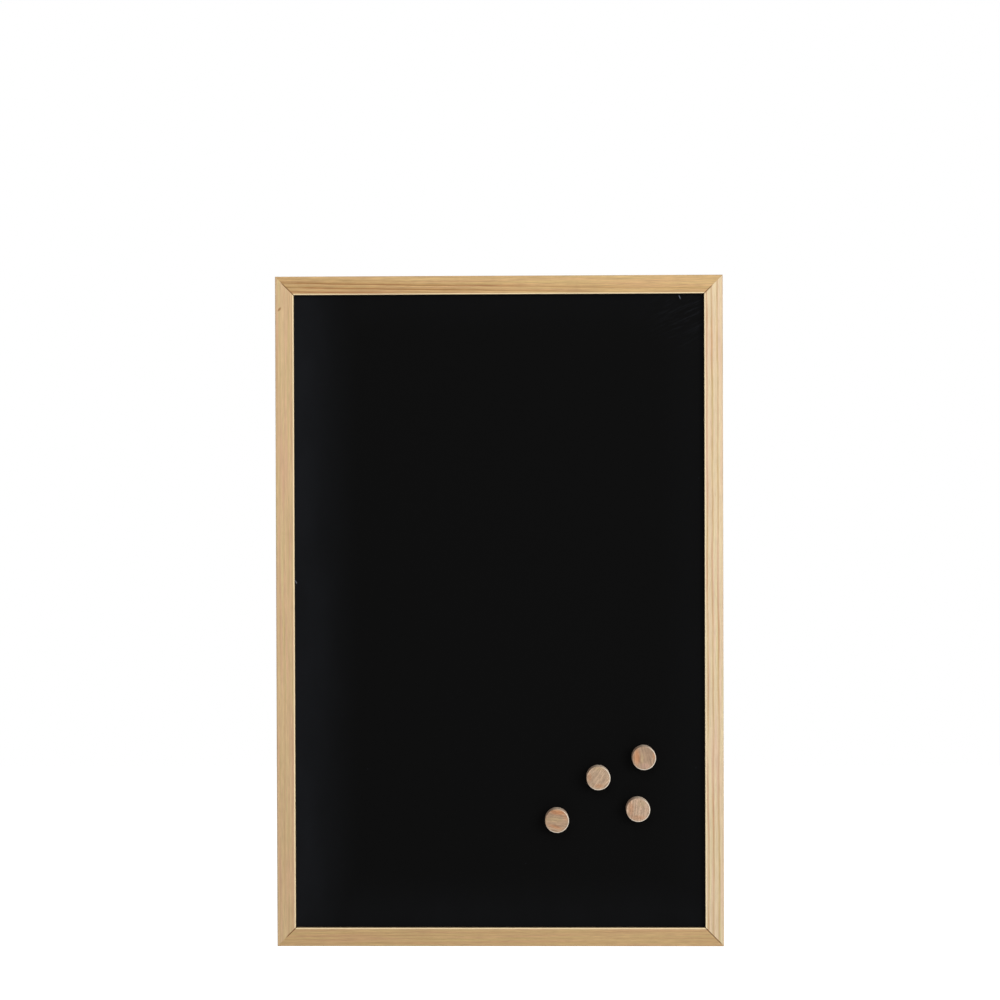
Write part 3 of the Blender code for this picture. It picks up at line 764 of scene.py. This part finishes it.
def chalkboard_paint(panels):
    """Porous matt black enamel on sheet steel: no gloss, a fine tooth, and chalk dust that wiping leaves.

    It is paler in a haze along the edges, strongest at the left, and chalk lies in swipes at the upper
    right.
    """
    material, tree = blank("chalkboard_paint")
    own = in_mm(tree, (MIDDLE_X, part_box("writing_sheet")[0].y, MIDDLE_Z))
    parts = add(tree, "SeparateXYZ", {"Vector": own})
    half = {
        "X": (BOARD_WIDTH / 2 - FACE_WIDTH) * PER_MM,
        "Z": (BOARD_HEIGHT / 2 - FACE_WIDTH) * PER_MM,
    }

    chalk_and_haze = 0.0
    for axis, side, reach, amount in HAZE:
        edge = side * half[axis]
        haze = mask(tree, (parts.outputs[axis], edge, edge - side * reach, amount, 0.0))
        chalk_and_haze = add(tree, "Math", {0: chalk_and_haze, 1: haze}, operation="MAXIMUM")
    cloud_scale = add(tree, "Mapping", {"Vector": own, "Scale": (0.03, 1.0, 0.012)})
    clouds = add(tree, "TexNoise", {"Vector": cloud_scale, "Scale": 1.0, "Detail": 3.0})
    cloudy = add(tree, "MapRange", span(clouds, 0.3, 0.7, 0.75, 1.25))
    chalk_and_haze = add(tree, "Math", {0: chalk_and_haze, 1: cloudy}, operation="MULTIPLY")

    corner = (half["X"] - SWIPES_IN[0], 0, half["Z"] - SWIPES_IN[1])
    from_corner = from_middle(tree, own, (1 / SWIPES_REACH[0], 0, 1 / SWIPES_REACH[1]), corner)
    turned = add(tree, "Mapping", {"Vector": own, "Rotation": (0, 0.45, 0)})
    drawn_out = add(tree, "VectorMath", {0: turned, 1: (0.05, 1, 0.55)}, operation="MULTIPLY")
    swipes = add(tree, "TexNoise", {"Vector": drawn_out, "Scale": 1.0, "Detail": 4.0, "Roughness": 0.65})
    streaky = add(tree, "MapRange", span(swipes, 0.5, 0.75, 0.0, 0.014))
    swiped = mask(tree, (from_corner, 0.1, 1.0, 1.0, 0.0), streaky)
    chalk_and_haze = add(tree, "Math", {0: swiped, 1: chalk_and_haze}, operation="ADD")

    # Lone specks of chalk, a third of a mm across
    cells = add(tree, "TexVoronoi", {"Vector": own, "Scale": 1 / SPECK_SPACING, "Randomness": 1.0})
    specks = add(tree, "MapRange", span(cells.outputs["Distance"], 0.006, 0.014, 0.05, 0.0))
    chalk_and_haze = add(tree, "Math", {0: chalk_and_haze, 1: specks}, operation="ADD", use_clamp=True)

    for (x1, z1), (x2, z2), half_stroke, strength in CHALK_STROKES:
        run = Vector((x2 - x1, 0, z2 - z1))
        squeeze = (2 / run.length, 0, 1 / half_stroke)
        centre = ((x1 + x2) / 2, 0, (z1 + z2) / 2)
        distance = from_middle(tree, own, squeeze, centre, (0, math.atan2(run.z, run.x), 0))
        stroke = add(tree, "MapRange", span(distance, 0.6, 1.1, strength, 0.0))
        chalk_and_haze = add(tree, "Math", {0: chalk_and_haze, 1: stroke}, operation="MAXIMUM")

    # Tooth of the paint, about 0.6 mm between bumps
    tooth = add(tree, "TexNoise", {"Vector": own, "Scale": 1.6, "Detail": 2.0})
    coated = coat(tree, panels.paint, panels.chalk, chalk_and_haze)
    surface(tree, coated, tooth, 0.15, 0.03, {"Roughness": 0.85, "Specular IOR Level": 0.04})
    return material


def hardboard(panels):
    """Pressed fibre board, rough face out: brown felted fibres with the imprint of the press screen."""
    material, tree = blank("hardboard")
    own = in_mm(tree)
    turns = (math.tau / (panels.screen_pitch * PER_MM),) * 3
    run = add(tree, "VectorMath", {0: own, 1: turns}, operation="MULTIPLY")
    waves = add(tree, "VectorMath", {0: run}, operation="SINE")
    across, _, up = add(tree, "SeparateXYZ", {"Vector": waves}).outputs
    screen = add(tree, "Math", {0: across, 1: up}, operation="MULTIPLY")
    fibres = add(tree, "TexNoise", {"Vector": own, "Scale": 0.9, "Detail": 5.0, "Roughness": 0.7})
    blotches = add(tree, "TexNoise", {"Vector": own, "Scale": 0.03, "Detail": 2.0})
    wood = coat(tree, panels.dark_fibre, panels.hardboard, fibres)
    wood = shaded(tree, wood, screen, 0.09, -1.0, 1.0)
    wood = shaded(tree, wood, blotches, 0.12)
    wood = shaded(tree, wood, fibres, 0.22)
    relief = add(tree, "Math", {0: screen, 1: 0.5, 2: fibres}, operation="MULTIPLY_ADD")
    surface(tree, wood, relief, 0.6, 0.15, {"Roughness": 0.8, "Specular IOR Level": 0.25})
    return material


def plated_metal(name, tint, roughness, fineness, variation):
    """Sheet or wire steel with a thin metal plating: bright, with the soft sparkle of barrel tumbling."""
    material, tree = blank(name)
    own = in_mm(tree)
    cloud = add(tree, "TexNoise", {"Vector": own, "Scale": 0.45, "Detail": 3.0})
    dull = tuple(channel * (1 - variation) for channel in tint)
    metal = coat(tree, dull, tint, cloud)
    scratches = add(tree, "TexNoise", {"Vector": own, "Scale": fineness, "Detail": 4.0, "Roughness": 0.7})
    rough = add(tree, "MapRange", span(scratches, 0.3, 0.7, roughness - 0.07, roughness + 0.1))
    surface(tree, metal, scratches, 0.2, 0.01, {"Roughness": rough, "Metallic": 1.0})
    return material


def soft_rubber(hardware):
    """Moulded soft rubber: dark and dull, with fine pores and a bloom of dust."""
    material, tree = blank("soft_rubber")
    pores = add(tree, "TexNoise", {"Vector": in_mm(tree), "Scale": 3.0, "Detail": 3.0, "Roughness": 0.6})
    dusty = add(tree, "MapRange", span(pores, 0.35, 0.75, 0.0, 0.12))
    skin = coat(tree, hardware.rubber, hardware.bloom, dusty)
    surface(tree, skin, pores, 0.4, 0.04, {"Roughness": 0.78})
    return material


# Frame

# Each member as (length, middle of its outer front edge, turn about Y)
MEMBERS = {
    "rail_top": (BOARD_WIDTH, (MIDDLE_X, FRONT_Y, BOARD_HIGH.z), 0.0),
    "rail_bottom": (BOARD_WIDTH, (MIDDLE_X, FRONT_Y, BOARD_LOW.z), math.pi),
    "stile_left": (BOARD_HEIGHT, (BOARD_LOW.x, FRONT_Y, MIDDLE_Z), -QUARTER),
    "stile_right": (BOARD_HEIGHT, (BOARD_HIGH.x, FRONT_Y, MIDDLE_Z), QUARTER),
}
# How each mitre stands open at the front: (side, level, length from the inner corner as a share of
# the mitre, width there, width at the far end)
OPEN_MITRES = {
    ("rail_top", "stile_left"): (-1, 1, 0.62, 0.16 * MM, 0.04 * MM),
    ("rail_top", "stile_right"): (1, 1, 0.42, 0.16 * MM, 0.03 * MM),
    ("rail_bottom", "stile_left"): (-1, -1, 0.5, 0.26 * MM, 0.04 * MM),
    ("rail_bottom", "stile_right"): (1, -1, 0.85, 0.4 * MM, 0.06 * MM),
}
# Each V-nail and each framer's point as (label, members that it is in, turn from the first one)
NAILS = [
    (f"{corner}_{place}", pair, turn)
    for corner, pair, turn in (
        ("top_right", ("rail_top", "stile_right"), 0.0),
        ("top_left", ("rail_top", "stile_left"), -QUARTER),
        ("bottom_left", ("rail_bottom", "stile_left"), math.pi),
        ("bottom_right", ("rail_bottom", "stile_right"), QUARTER),
    )
    for place in ("outer", "inner")
]
TABS = [
    (f"{side}_{index}", (member,), turn)
    for side, member, count, turn in (
        ("right", "stile_right", 3, 0.0),
        ("left", "stile_left", 3, math.pi),
        ("top", "rail_top", 2, -QUARTER),
        ("bottom", "rail_bottom", 2, QUARTER),
    )
    for index in range(1, count + 1)
]
FIRST_NAIL = "v_nail_top_right_outer"
FIRST_TAB = "framer_point_right_1"
# Room round a fixing in the wood, and the screws' pilot holes
ROOM = 0.04 * MM
PILOT_RADIUS = 1.45 * MM
# A V-nail's legs, and the bend between them
NAIL_LEG = 3 * MM
NAIL_BEND = math.radians(80)
# A framer's point: how far it is driven in, where it is bent beyond that, and its corners
TAB_DRIVEN = 5 * MM
TAB_TO_BEND = 3.5 * MM
TAB_BEND_RADIUS = 0.5 * MM
TAB_TIP = 2 * MM
TAB_NOSE = 1.5 * MM


def moulding(name, run, sizes):
    """One member along X with its outer front edge on the X axis: rabbet, mitres and eased edges."""
    half = run / 2 + FACE_WIDTH
    lip_back = sizes.lip_thickness
    flat_back = FACE_WIDTH - sizes.rabbet_width
    member = block(name, (-half, 0, -FACE_WIDTH), (half, FRAME_DEPTH, 0))
    carve(member, block(
        "rabbet", (-half - FACE_WIDTH, lip_back, -2 * FACE_WIDTH),
        (half + FACE_WIDTH, FRAME_DEPTH + FACE_WIDTH, -flat_back),
    ))
    end = run / 2 - sizes.joint_gap / math.sqrt(2)
    for side in (-1, 1):
        cut_across(member, (side * end, 0, 0), (side, 0, -1), use_fill=True, clear_outer=True)
    for back, down, radius, segments in (
        (0, 0, sizes.outer_arris, 8),
        (0, -FACE_WIDTH, sizes.inner_arris, 6),
        (FRAME_DEPTH, 0, sizes.back_arris, 5),
        (FRAME_DEPTH, -flat_back, sizes.rabbet_arris, 3),
        (lip_back, -FACE_WIDTH, sizes.rabbet_arris, 3),
    ):
        ease(member, lambda edge: at(edge, y=back, z=down), radius, segments)
    return member


def open_mitre(side, level, share, wide, narrow, sizes):
    """A thin wedge on a mitre, from its inner corner outwards, a little deeper than the lip."""
    far = FACE_WIDTH * math.sqrt(2) * share
    deep = sizes.lip_thickness + sizes.rabbet_arris
    wedge = block("wedge", (-PAST, -PAST, -wide / 2), (far, deep, wide / 2))
    taper(wedge, "VERT", lambda corner: at(corner, x=far), (1, 1, narrow / wide), (0, 0, 0))
    inner = (
        MIDDLE_X + side * (BOARD_WIDTH / 2 - FACE_WIDTH),
        FRONT_Y,
        MIDDLE_Z + level * (BOARD_HEIGHT / 2 - FACE_WIDTH),
    )
    put(wedge, inner, math.atan2(-level, side))
    return wedge


def bent_nail(name, hardware, grow=0.0):
    """A V-nail at the first nail's place: a leg, a bend and another leg, with room round it."""
    low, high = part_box(FIRST_NAIL)
    near = low.y - grow
    far = BACK_Y + PAST if grow else high.y
    half = hardware.nail_strip / 2 + grow
    bend_radius = hardware.nail_strip
    leg = NAIL_LEG - bend_radius * math.tan(NAIL_BEND / 2) + grow
    nail = block(name, (0, near, -half), (leg, far, half))
    with editing(nail):
        choose(nail, "FACE", lambda face: at(face, x=0))
        second = Vector((-math.cos(NAIL_BEND), 0, math.sin(NAIL_BEND))) * leg
        carry([((0, near, bend_radius), (0, 1, 0), NAIL_BEND, 8), second])
    face_out(nail)
    # The V stands on the corner's diagonal
    put(nail, (0, 0, 0), (QUARTER - NAIL_BEND) / 2)
    corners = [corner.co for corner in nail.data.vertices]
    reach_x = max(corner.x for corner in corners)
    reach_z = max(corner.z for corner in corners)
    put(nail, (high.x + grow - reach_x, 0, high.z + grow - reach_z))
    return nail


def flat_tab(name, grow=0.0):
    """A framer's point at the first tab's place: flat, with a tip in the wood and a clipped nose."""
    low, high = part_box(FIRST_TAB)
    low = low - Vector((grow, grow, grow))
    high = high + Vector((grow, grow, grow))
    tab = block(name, low, high)
    centre = middle(FIRST_TAB)
    cut_across(tab, centre, (0, 0, 1))
    shift(tab, lambda corner: at(corner, x=high.x) and not at(corner, z=centre.z), (-TAB_TIP, 0, 0))
    ease(tab, lambda edge: at(edge, x=low.x, z=low.z) or at(edge, x=low.x, z=high.z), TAB_NOSE, 1)
    return tab


def bent_tab(hardware):
    """The first framer's point, bent up at its free end."""
    tab = flat_tab("first_tab")
    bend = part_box(FIRST_TAB)[1].x - TAB_DRIVEN - TAB_TO_BEND
    cut_across(tab, (bend, 0, 0), (1, 0, 0))
    shift(tab, lambda corner: corner.co.x < bend - NEAR, (0, hardware.tab_lift, 0))
    ease(tab, lambda edge: at(edge, x=bend), TAB_BEND_RADIUS, 4)
    return tab


def cut_for_fixings(members, hardware):
    """Opens slots in the members for the nails and the tabs, and holes for the hangers' screws."""
    for kind, first, cutter, rows in (
        ("v_nail", FIRST_NAIL, bent_nail("nail_room", hardware, ROOM), NAILS),
        ("framer_point", FIRST_TAB, flat_tab("tab_room", ROOM), TABS),
    ):
        for label, names, turn in rows:
            for name in names:
                carve(members[name], copied(cutter, "slot", first, f"{kind}_{label}", turn))
        bpy.data.objects.remove(cutter)
    for side in ("left", "right"):
        screw = f"hanger_screw_{side}"
        low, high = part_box(screw)
        pilot = drum("pilot", PILOT_RADIUS, middle(screw), low.y - ROOM, high.y, sides=24)
        carve(members[f"stile_{side}"], pilot)


class CHALKBOARD_OT_frame(bpy.types.Operator):
    """Models the four mitred frame members, each in its own pine"""

    bl_idname = "chalkboard.frame"
    bl_label = "Frame members"

    def execute(self, context):
        sizes = context.scene.chalkboard_frame
        members = {}
        for name, (run, place, turn) in MEMBERS.items():
            members[name] = moulding(f"pine_{name}", run, sizes)
            put(members[name], place, turn)
        for pair, opening in OPEN_MITRES.items():
            for name in pair:
                carve(members[name], open_mitre(*opening, sizes))
        cut_for_fixings(members, context.scene.chalkboard_hardware)
        for name, member in members.items():
            even_surface(member)
            dress(member, pine(name, sizes), "board", f"frame_{name}")
        return {"FINISHED"}


# Panels

def panel(name, node, corner, edge, segments):
    """A plate in the node's box, with round corners and eased edges."""
    low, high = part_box(node)
    plate = block(name, low, high)
    ease(plate, through, corner, segments)
    ease(plate, lambda item: at(item, y=low.y) or at(item, y=high.y), edge, 2)
    even_surface(plate)
    return plate


class CHALKBOARD_OT_sheet(bpy.types.Operator):
    """Models the painted steel writing sheet"""

    bl_idname = "chalkboard.sheet"
    bl_label = "Writing sheet"

    def execute(self, context):
        panels = context.scene.chalkboard_panels
        sheet = panel("painted_sheet", "writing_sheet", panels.corner, panels.sheet_edge, segments=8)
        dress(sheet, chalkboard_paint(panels), "board", "writing_sheet")
        return {"FINISHED"}


class CHALKBOARD_OT_backing(bpy.types.Operator):
    """Models the hardboard that stiffens the sheet"""

    bl_idname = "chalkboard.backing"
    bl_label = "Backing board"

    def execute(self, context):
        panels = context.scene.chalkboard_panels
        backing = panel(
            "hardboard_backing", "backing_board", panels.corner, panels.backing_edge, segments=6,
        )
        dress(backing, hardboard(panels), "board", "backing_board")
        return {"FINISHED"}


# Fixings

class CHALKBOARD_OT_fixings(bpy.types.Operator):
    """Models the framer's points that hold the panels in and the V-nails across the mitres"""

    bl_idname = "chalkboard.fixings"
    bl_label = "Framer's points and V-nails"

    def execute(self, context):
        hardware = context.scene.chalkboard_hardware
        steel = plated_metal("rolled_spring_steel", hardware.spring_steel, 0.4, 1.4, 0.25)
        for kind, piece, first, pattern, rows in (
            ("framer_point", "steel_point", FIRST_TAB, bent_tab(hardware), TABS),
            ("v_nail", "steel_nail", FIRST_NAIL, bent_nail("first_nail", hardware), NAILS),
        ):
            even_surface(pattern)
            for label, _, turn in rows:
                node = f"{kind}_{label}"
                made = copied(pattern, f"{piece}_{label}", first, node, turn)
                dress(made, steel, "board", node)
            bpy.data.objects.remove(pattern)
        return {"FINISHED"}


# Hangers

def hanger_axis():
    """Where the left ring's hinge runs: the middle of its wire's top bar."""
    low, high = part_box("hanger_ring_left")
    wire = (high.y - low.y) / 2
    return Vector(((low.x + high.x) / 2, (low.y + high.y) / 2, high.z - wire))


def folded_strap(hardware):
    """The left strap: a strip that runs up, jogs out, wraps the ring's bar and runs down again."""
    low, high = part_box("hanger_plate_left")
    axis = hanger_axis()
    thick = hardware.strip_thickness
    seam = 0.03 * MM
    rise = 1.6 * MM
    back_bend = 0.5 * MM
    round_bar = high.y - axis.y - thick / 2
    near_middle = low.y + thick / 2 - axis.y
    far_middle = near_middle + thick + seam
    bend = 2 * math.atan2(-round_bar - near_middle, rise)
    bend_radius = rise / (2 * math.sin(bend))
    tail = round_bar + back_bend
    wrap = math.acos((back_bend + far_middle) / tail)
    first_bend = axis + Vector((0, near_middle + bend_radius, -rise))
    second_bend = axis + Vector((0, -round_bar - bend_radius, 0))
    tail_bend = axis + Vector((0, math.cos(wrap) * tail, -math.sin(wrap) * tail))
    across = (1, 0, 0)
    strap = block("zinc_strap_left", low, (high.x, low.y + thick, axis.z - rise))
    with editing(strap):
        choose(strap, "FACE", lambda face: at(face, z=axis.z - rise))
        carry([
            (first_bend, across, -bend, 6),
            (second_bend, across, bend, 6),
            (axis, across, -(math.pi + wrap), 28),
            (tail_bend, across, wrap, 8),
            Vector((0, 0, low.z - tail_bend.z)),
        ])
    face_out(strap)
    ease(strap, lambda edge: at(edge, z=low.z) and through(edge), hardware.strap_end, 8)
    hole_radius = 1.7 * MM
    carve(strap, drum("hole", hole_radius, middle("hanger_screw_left"), low.y - PAST, high.y, sides=32))
    sharp = math.radians(60)
    edge_ease = 0.1 * MM
    ease(strap, lambda edge: edge.calc_face_angle(0) > sharp, edge_ease, 2)
    even_surface(strap)
    return strap


def wire_ring(hardware):
    """The left D-ring: a round wire that starts and ends in the middle of its bar, in the strap's eye."""
    low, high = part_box("hanger_ring_left")
    axis = hanger_axis()
    wire = hardware.wire_radius
    corner = hardware.ring_corner
    half_width = (high.x - low.x) / 2 - wire
    height = (high.z - low.z) - 2 * wire
    bar = half_width - corner
    leg = height - half_width - corner
    seam = 0.05 * MM
    round_y = (0, 1, 0)
    ring = primitive(
        "circle", "zinc_ring_left", vertices=24, radius=wire, fill_type="NGON",
        location=axis + Vector((seam, 0, 0)), rotation=(0, QUARTER, 0),
    )
    with editing(ring):
        bpy.ops.mesh.select_mode(type="FACE")
        bpy.ops.mesh.select_all(action="SELECT")
        carry([
            Vector((bar - seam, 0, 0)),
            (axis + Vector((bar, 0, -corner)), round_y, QUARTER, 8),
            Vector((0, 0, -leg)),
            (axis + Vector((0, 0, half_width - height)), round_y, math.pi, 32),
            Vector((0, 0, leg)),
            (axis + Vector((-bar, 0, -corner)), round_y, QUARTER, 8),
            Vector((bar - seam, 0, 0)),
        ])
    even_surface(ring)
    return ring


def pan_screw(hardware):
    """The left screw: pan head with a cross recess, on a shank with a point."""
    low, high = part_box("hanger_screw_left")
    centre = middle("hanger_screw_left")
    under_head = high.y - hardware.head_height
    tip = 2.4 * MM
    screw = drum("zinc_screw_left", hardware.head_radius, centre, under_head, high.y, sides=48)
    with editing(screw):
        choose(screw, "FACE", lambda face: at(face, y=under_head))
        bpy.ops.mesh.inset(thickness=hardware.head_radius - hardware.shank_radius)
        carry([Vector((0, low.y + tip - under_head, 0)), Vector((0, -tip, 0))])
    point = (centre.x, low.y, centre.z)
    taper(screw, "FACE", lambda face: at(face, y=low.y), (0.06, 0.06, 0.06), point)
    dome = hardware.head_height * 0.66
    ease(screw, lambda edge: at(edge, y=high.y), dome, 8)
    reach = 1.5 * MM
    slot = 0.42 * MM
    deep = 1.1 * MM
    for turn in (0.0, QUARTER):
        cross = block("cross", (-reach, -deep, -slot), (reach, PAST, slot))
        taper(cross, "FACE", lambda face: at(face, y=-deep), (0.45, 1, 0.6), (0, -deep, 0))
        put(cross, (centre.x, high.y, centre.z), turn)
        carve(screw, cross)
    even_surface(screw)
    return screw


class CHALKBOARD_OT_hangers(bpy.types.Operator):
    """Models the straps, rings and screws that the board hangs by"""

    bl_idname = "chalkboard.hangers"
    bl_label = "Hangers"

    def execute(self, context):
        hardware = context.scene.chalkboard_hardware
        zinc = plated_metal("bright_zinc_plate", hardware.zinc, 0.3, 1.2, 0.12)
        for piece, body, node in (
            (folded_strap(hardware), "board", "hanger_plate_left"),
            (wire_ring(hardware), "ring_left", "hanger_ring_left"),
            (pan_screw(hardware), "board", "hanger_screw_left"),
        ):
            dress_pair(piece, zinc, body, node)
        return {"FINISHED"}


class CHALKBOARD_OT_bumpers(bpy.types.Operator):
    """Models the soft pads that keep the board's foot off the wall"""

    bl_idname = "chalkboard.bumpers"
    bl_label = "Wall bumpers"

    def execute(self, context):
        hardware = context.scene.chalkboard_hardware
        low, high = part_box("wall_bumper_left")
        centre = middle("wall_bumper_left")
        radius = (high.x - low.x) / 2
        narrowing = 0.4 * MM
        wall_ease = 0.8 * MM
        foot_ease = 0.15 * MM
        share = 1 - narrowing / radius
        pad = drum("rubber_bumper_left", radius, centre, low.y, high.y, sides=48)
        taper(pad, "FACE", lambda face: at(face, y=high.y), (share, 1, share), centre)
        ease(pad, lambda edge: at(edge, y=high.y), wall_ease, 6)
        ease(pad, lambda edge: at(edge, y=low.y), foot_ease, 2)
        even_surface(pad)
        dress_pair(pad, soft_rubber(hardware), "board", "wall_bumper_left")
        return {"FINISHED"}


# Magnets

def turned_cap(sizes):
    """A wooden cap at the first one's place, with a recess in its back."""
    low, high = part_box("magnet_cap_1")
    disc_low, disc_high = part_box("magnet_disc_1")
    radius = (high.x - low.x) / 2
    disc_radius = (disc_high.x - disc_low.x) / 2
    cap = drum("beech_cap_1", radius, middle("magnet_cap_1"), low.y, high.y, sides=96)
    ease(cap, lambda edge: at(edge, y=low.y), sizes.front_ease, 6)
    ease(cap, lambda edge: at(edge, y=high.y), sizes.back_ease, 3)
    with editing(cap):
        choose(cap, "FACE", lambda face: at(face, y=high.y))
        bpy.ops.mesh.inset(thickness=radius - sizes.back_ease - disc_radius - sizes.recess_gap)
        carry([Vector((0, disc_low.y - sizes.recess_gap - high.y, 0))])
    even_surface(cap)
    return cap


def magnet_disc(sizes):
    """A magnet at the first one's place."""
    low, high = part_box("magnet_disc_1")
    radius = (high.x - low.x) / 2
    disc = drum("nickel_disc_1", radius, middle("magnet_cap_1"), low.y, high.y, sides=64)
    ease(disc, lambda edge: at(edge, y=low.y) or at(edge, y=high.y), sizes.disc_ease, 4)
    even_surface(disc)
    return disc


class CHALKBOARD_OT_magnets(bpy.types.Operator):
    """Models the wooden caps and the magnets let into their backs"""

    bl_idname = "chalkboard.magnets"
    bl_label = "Magnets"

    def execute(self, context):
        sizes = context.scene.chalkboard_magnets
        nickel = plated_metal("bright_nickel_plate", sizes.nickel, 0.2, 1.0, 0.06)
        cap = turned_cap(sizes)
        disc = magnet_disc(sizes)
        for magnet in CAP_FIGURES:
            for pattern, piece, part, material, slot in (
                (cap, "turned_cap", "magnet_cap", beech(magnet, sizes), "beech"),
                (disc, "plated_disc", "magnet_disc", nickel, "nickel"),
            ):
                made = copied(pattern, f"{piece}_{magnet}", f"{part}_1", f"{part}_{magnet}")
                dress(made, material, f"magnet_{magnet}", f"{part}_{magnet}")
        for pattern in (cap, disc):
            bpy.data.objects.remove(pattern)
        return {"FINISHED"}


# Stage

def seen_rays(tree):
    """1 for what the camera, gloss and glass see, and 0 for the light that falls on things."""
    path = add(tree, "LightPath")
    seen = path.outputs["Is Camera Ray"]
    for kind in ("Is Glossy Ray", "Is Transmission Ray"):
        seen = add(tree, "Math", {0: seen, 1: path.outputs[kind]}, operation="MAXIMUM")
    return seen


def white_room(room_light):
    """White where the room is seen, and plain room light for all else."""
    world = bpy.data.worlds.new("white_room")
    tree = emptied(world)
    level = add(tree, "MapRange", span(seen_rays(tree), 0.0, 1.0, room_light, 1.0))
    room = add(tree, "Background", {"Color": (1, 1, 1), "Strength": level})
    add(tree, "OutputWorld", {"Surface": room})
    return world


def studio_floor(stage):
    """A pale and dull floor, lifted towards white where it is seen."""
    material, tree = blank("studio_floor")
    lift = add(tree, "Math", {0: seen_rays(tree), 1: stage.floor_glow}, operation="MULTIPLY")
    diffuse = add(tree, "BsdfDiffuse", {"Color": stage.floor})
    glow = add(tree, "Emission", {"Color": (1, 1, 1), "Strength": lift})
    both = add(tree, "AddShader", {0: diffuse, 1: glow})
    add(tree, "OutputMaterial", {"Surface": both})
    return material


class CHALKBOARD_OT_stage(bpy.types.Operator):
    """Sets up the camera, the lamps, the floor and the white room"""

    bl_idname = "chalkboard.stage"
    bl_label = "Stage"

    def execute(self, context):
        scene = context.scene
        stage = scene.chalkboard_stage
        scene.view_settings.view_transform = "Standard"
        scene.world = white_room(stage.room_light)

        bpy.ops.object.camera_add()
        camera = context.object
        camera.data.lens = stage.lens
        camera.data.sensor_width = 36
        aim = (
            Matrix.Rotation(stage.pan, 4, "Z")
            @ Matrix.Rotation(QUARTER + stage.tilt, 4, "X")
            @ Matrix.Rotation(stage.roll, 4, "Z")
        )
        camera.matrix_world = Matrix.Translation(stage.camera_place) @ aim
        scene.camera = camera

        centre = Vector((MIDDLE_X, FRONT_Y, MIDDLE_Z))
        for name in ("key", "top", "back"):
            place = Vector(getattr(stage, f"{name}_place"))
            bpy.ops.object.light_add(type="AREA", location=place)
            lamp = context.object
            lamp.rotation_mode = "QUATERNION"
            lamp.rotation_quaternion = (centre - place).to_track_quat("-Z", "Y")
            lamp.data.shape = "SQUARE"
            lamp.data.size = getattr(stage, f"{name}_size")
            lamp.data.energy = getattr(stage, f"{name}_power")
            lamp.visible_camera = False

        half = stage.floor_size / 2
        top = BOARD_LOW.z - stage.floor_drop
        thickness = 20 * MM
        floor = block("floor", (-half, -half, top - thickness), (half, half, top))
        floor.data.materials.append(studio_floor(stage))
        return {"FINISHED"}


# Panel and registration

OPERATORS = (
    CHALKBOARD_OT_frame,
    CHALKBOARD_OT_sheet,
    CHALKBOARD_OT_backing,
    CHALKBOARD_OT_fixings,
    CHALKBOARD_OT_hangers,
    CHALKBOARD_OT_bumpers,
    CHALKBOARD_OT_magnets,
    CHALKBOARD_OT_stage,
)
GROUPS = {
    "chalkboard_frame": CHALKBOARD_PG_frame,
    "chalkboard_panels": CHALKBOARD_PG_panels,
    "chalkboard_hardware": CHALKBOARD_PG_hardware,
    "chalkboard_magnets": CHALKBOARD_PG_magnets,
    "chalkboard_stage": CHALKBOARD_PG_stage,
}


class CHALKBOARD_PT_pieces(bpy.types.Panel):
    """Lists the pieces of the chalkboard"""

    bl_idname = "CHALKBOARD_PT_pieces"
    bl_label = "Chalkboard"
    bl_space_type = "VIEW_3D"
    bl_region_type = "UI"
    bl_category = "Chalkboard"

    def draw(self, context):
        for operator in OPERATORS:
            self.layout.operator(operator.bl_idname)


def register():
    for group in GROUPS.values():
        bpy.utils.register_class(group)
    for operator in OPERATORS:
        bpy.utils.register_class(operator)
    bpy.utils.register_class(CHALKBOARD_PT_pieces)
    for name, group in GROUPS.items():
        setattr(bpy.types.Scene, name, PointerProperty(type=group))


def unregister():
    for name in GROUPS:
        delattr(bpy.types.Scene, name)
    bpy.utils.unregister_class(CHALKBOARD_PT_pieces)
    for operator in reversed(OPERATORS):
        bpy.utils.unregister_class(operator)
    for group in reversed(GROUPS.values()):
        bpy.utils.unregister_class(group)


def main():
    register()
    for operator in OPERATORS:
        group, name = operator.bl_idname.split(".")
        getattr(getattr(bpy.ops, group), name)()


if __name__ == "__main__":
    main()
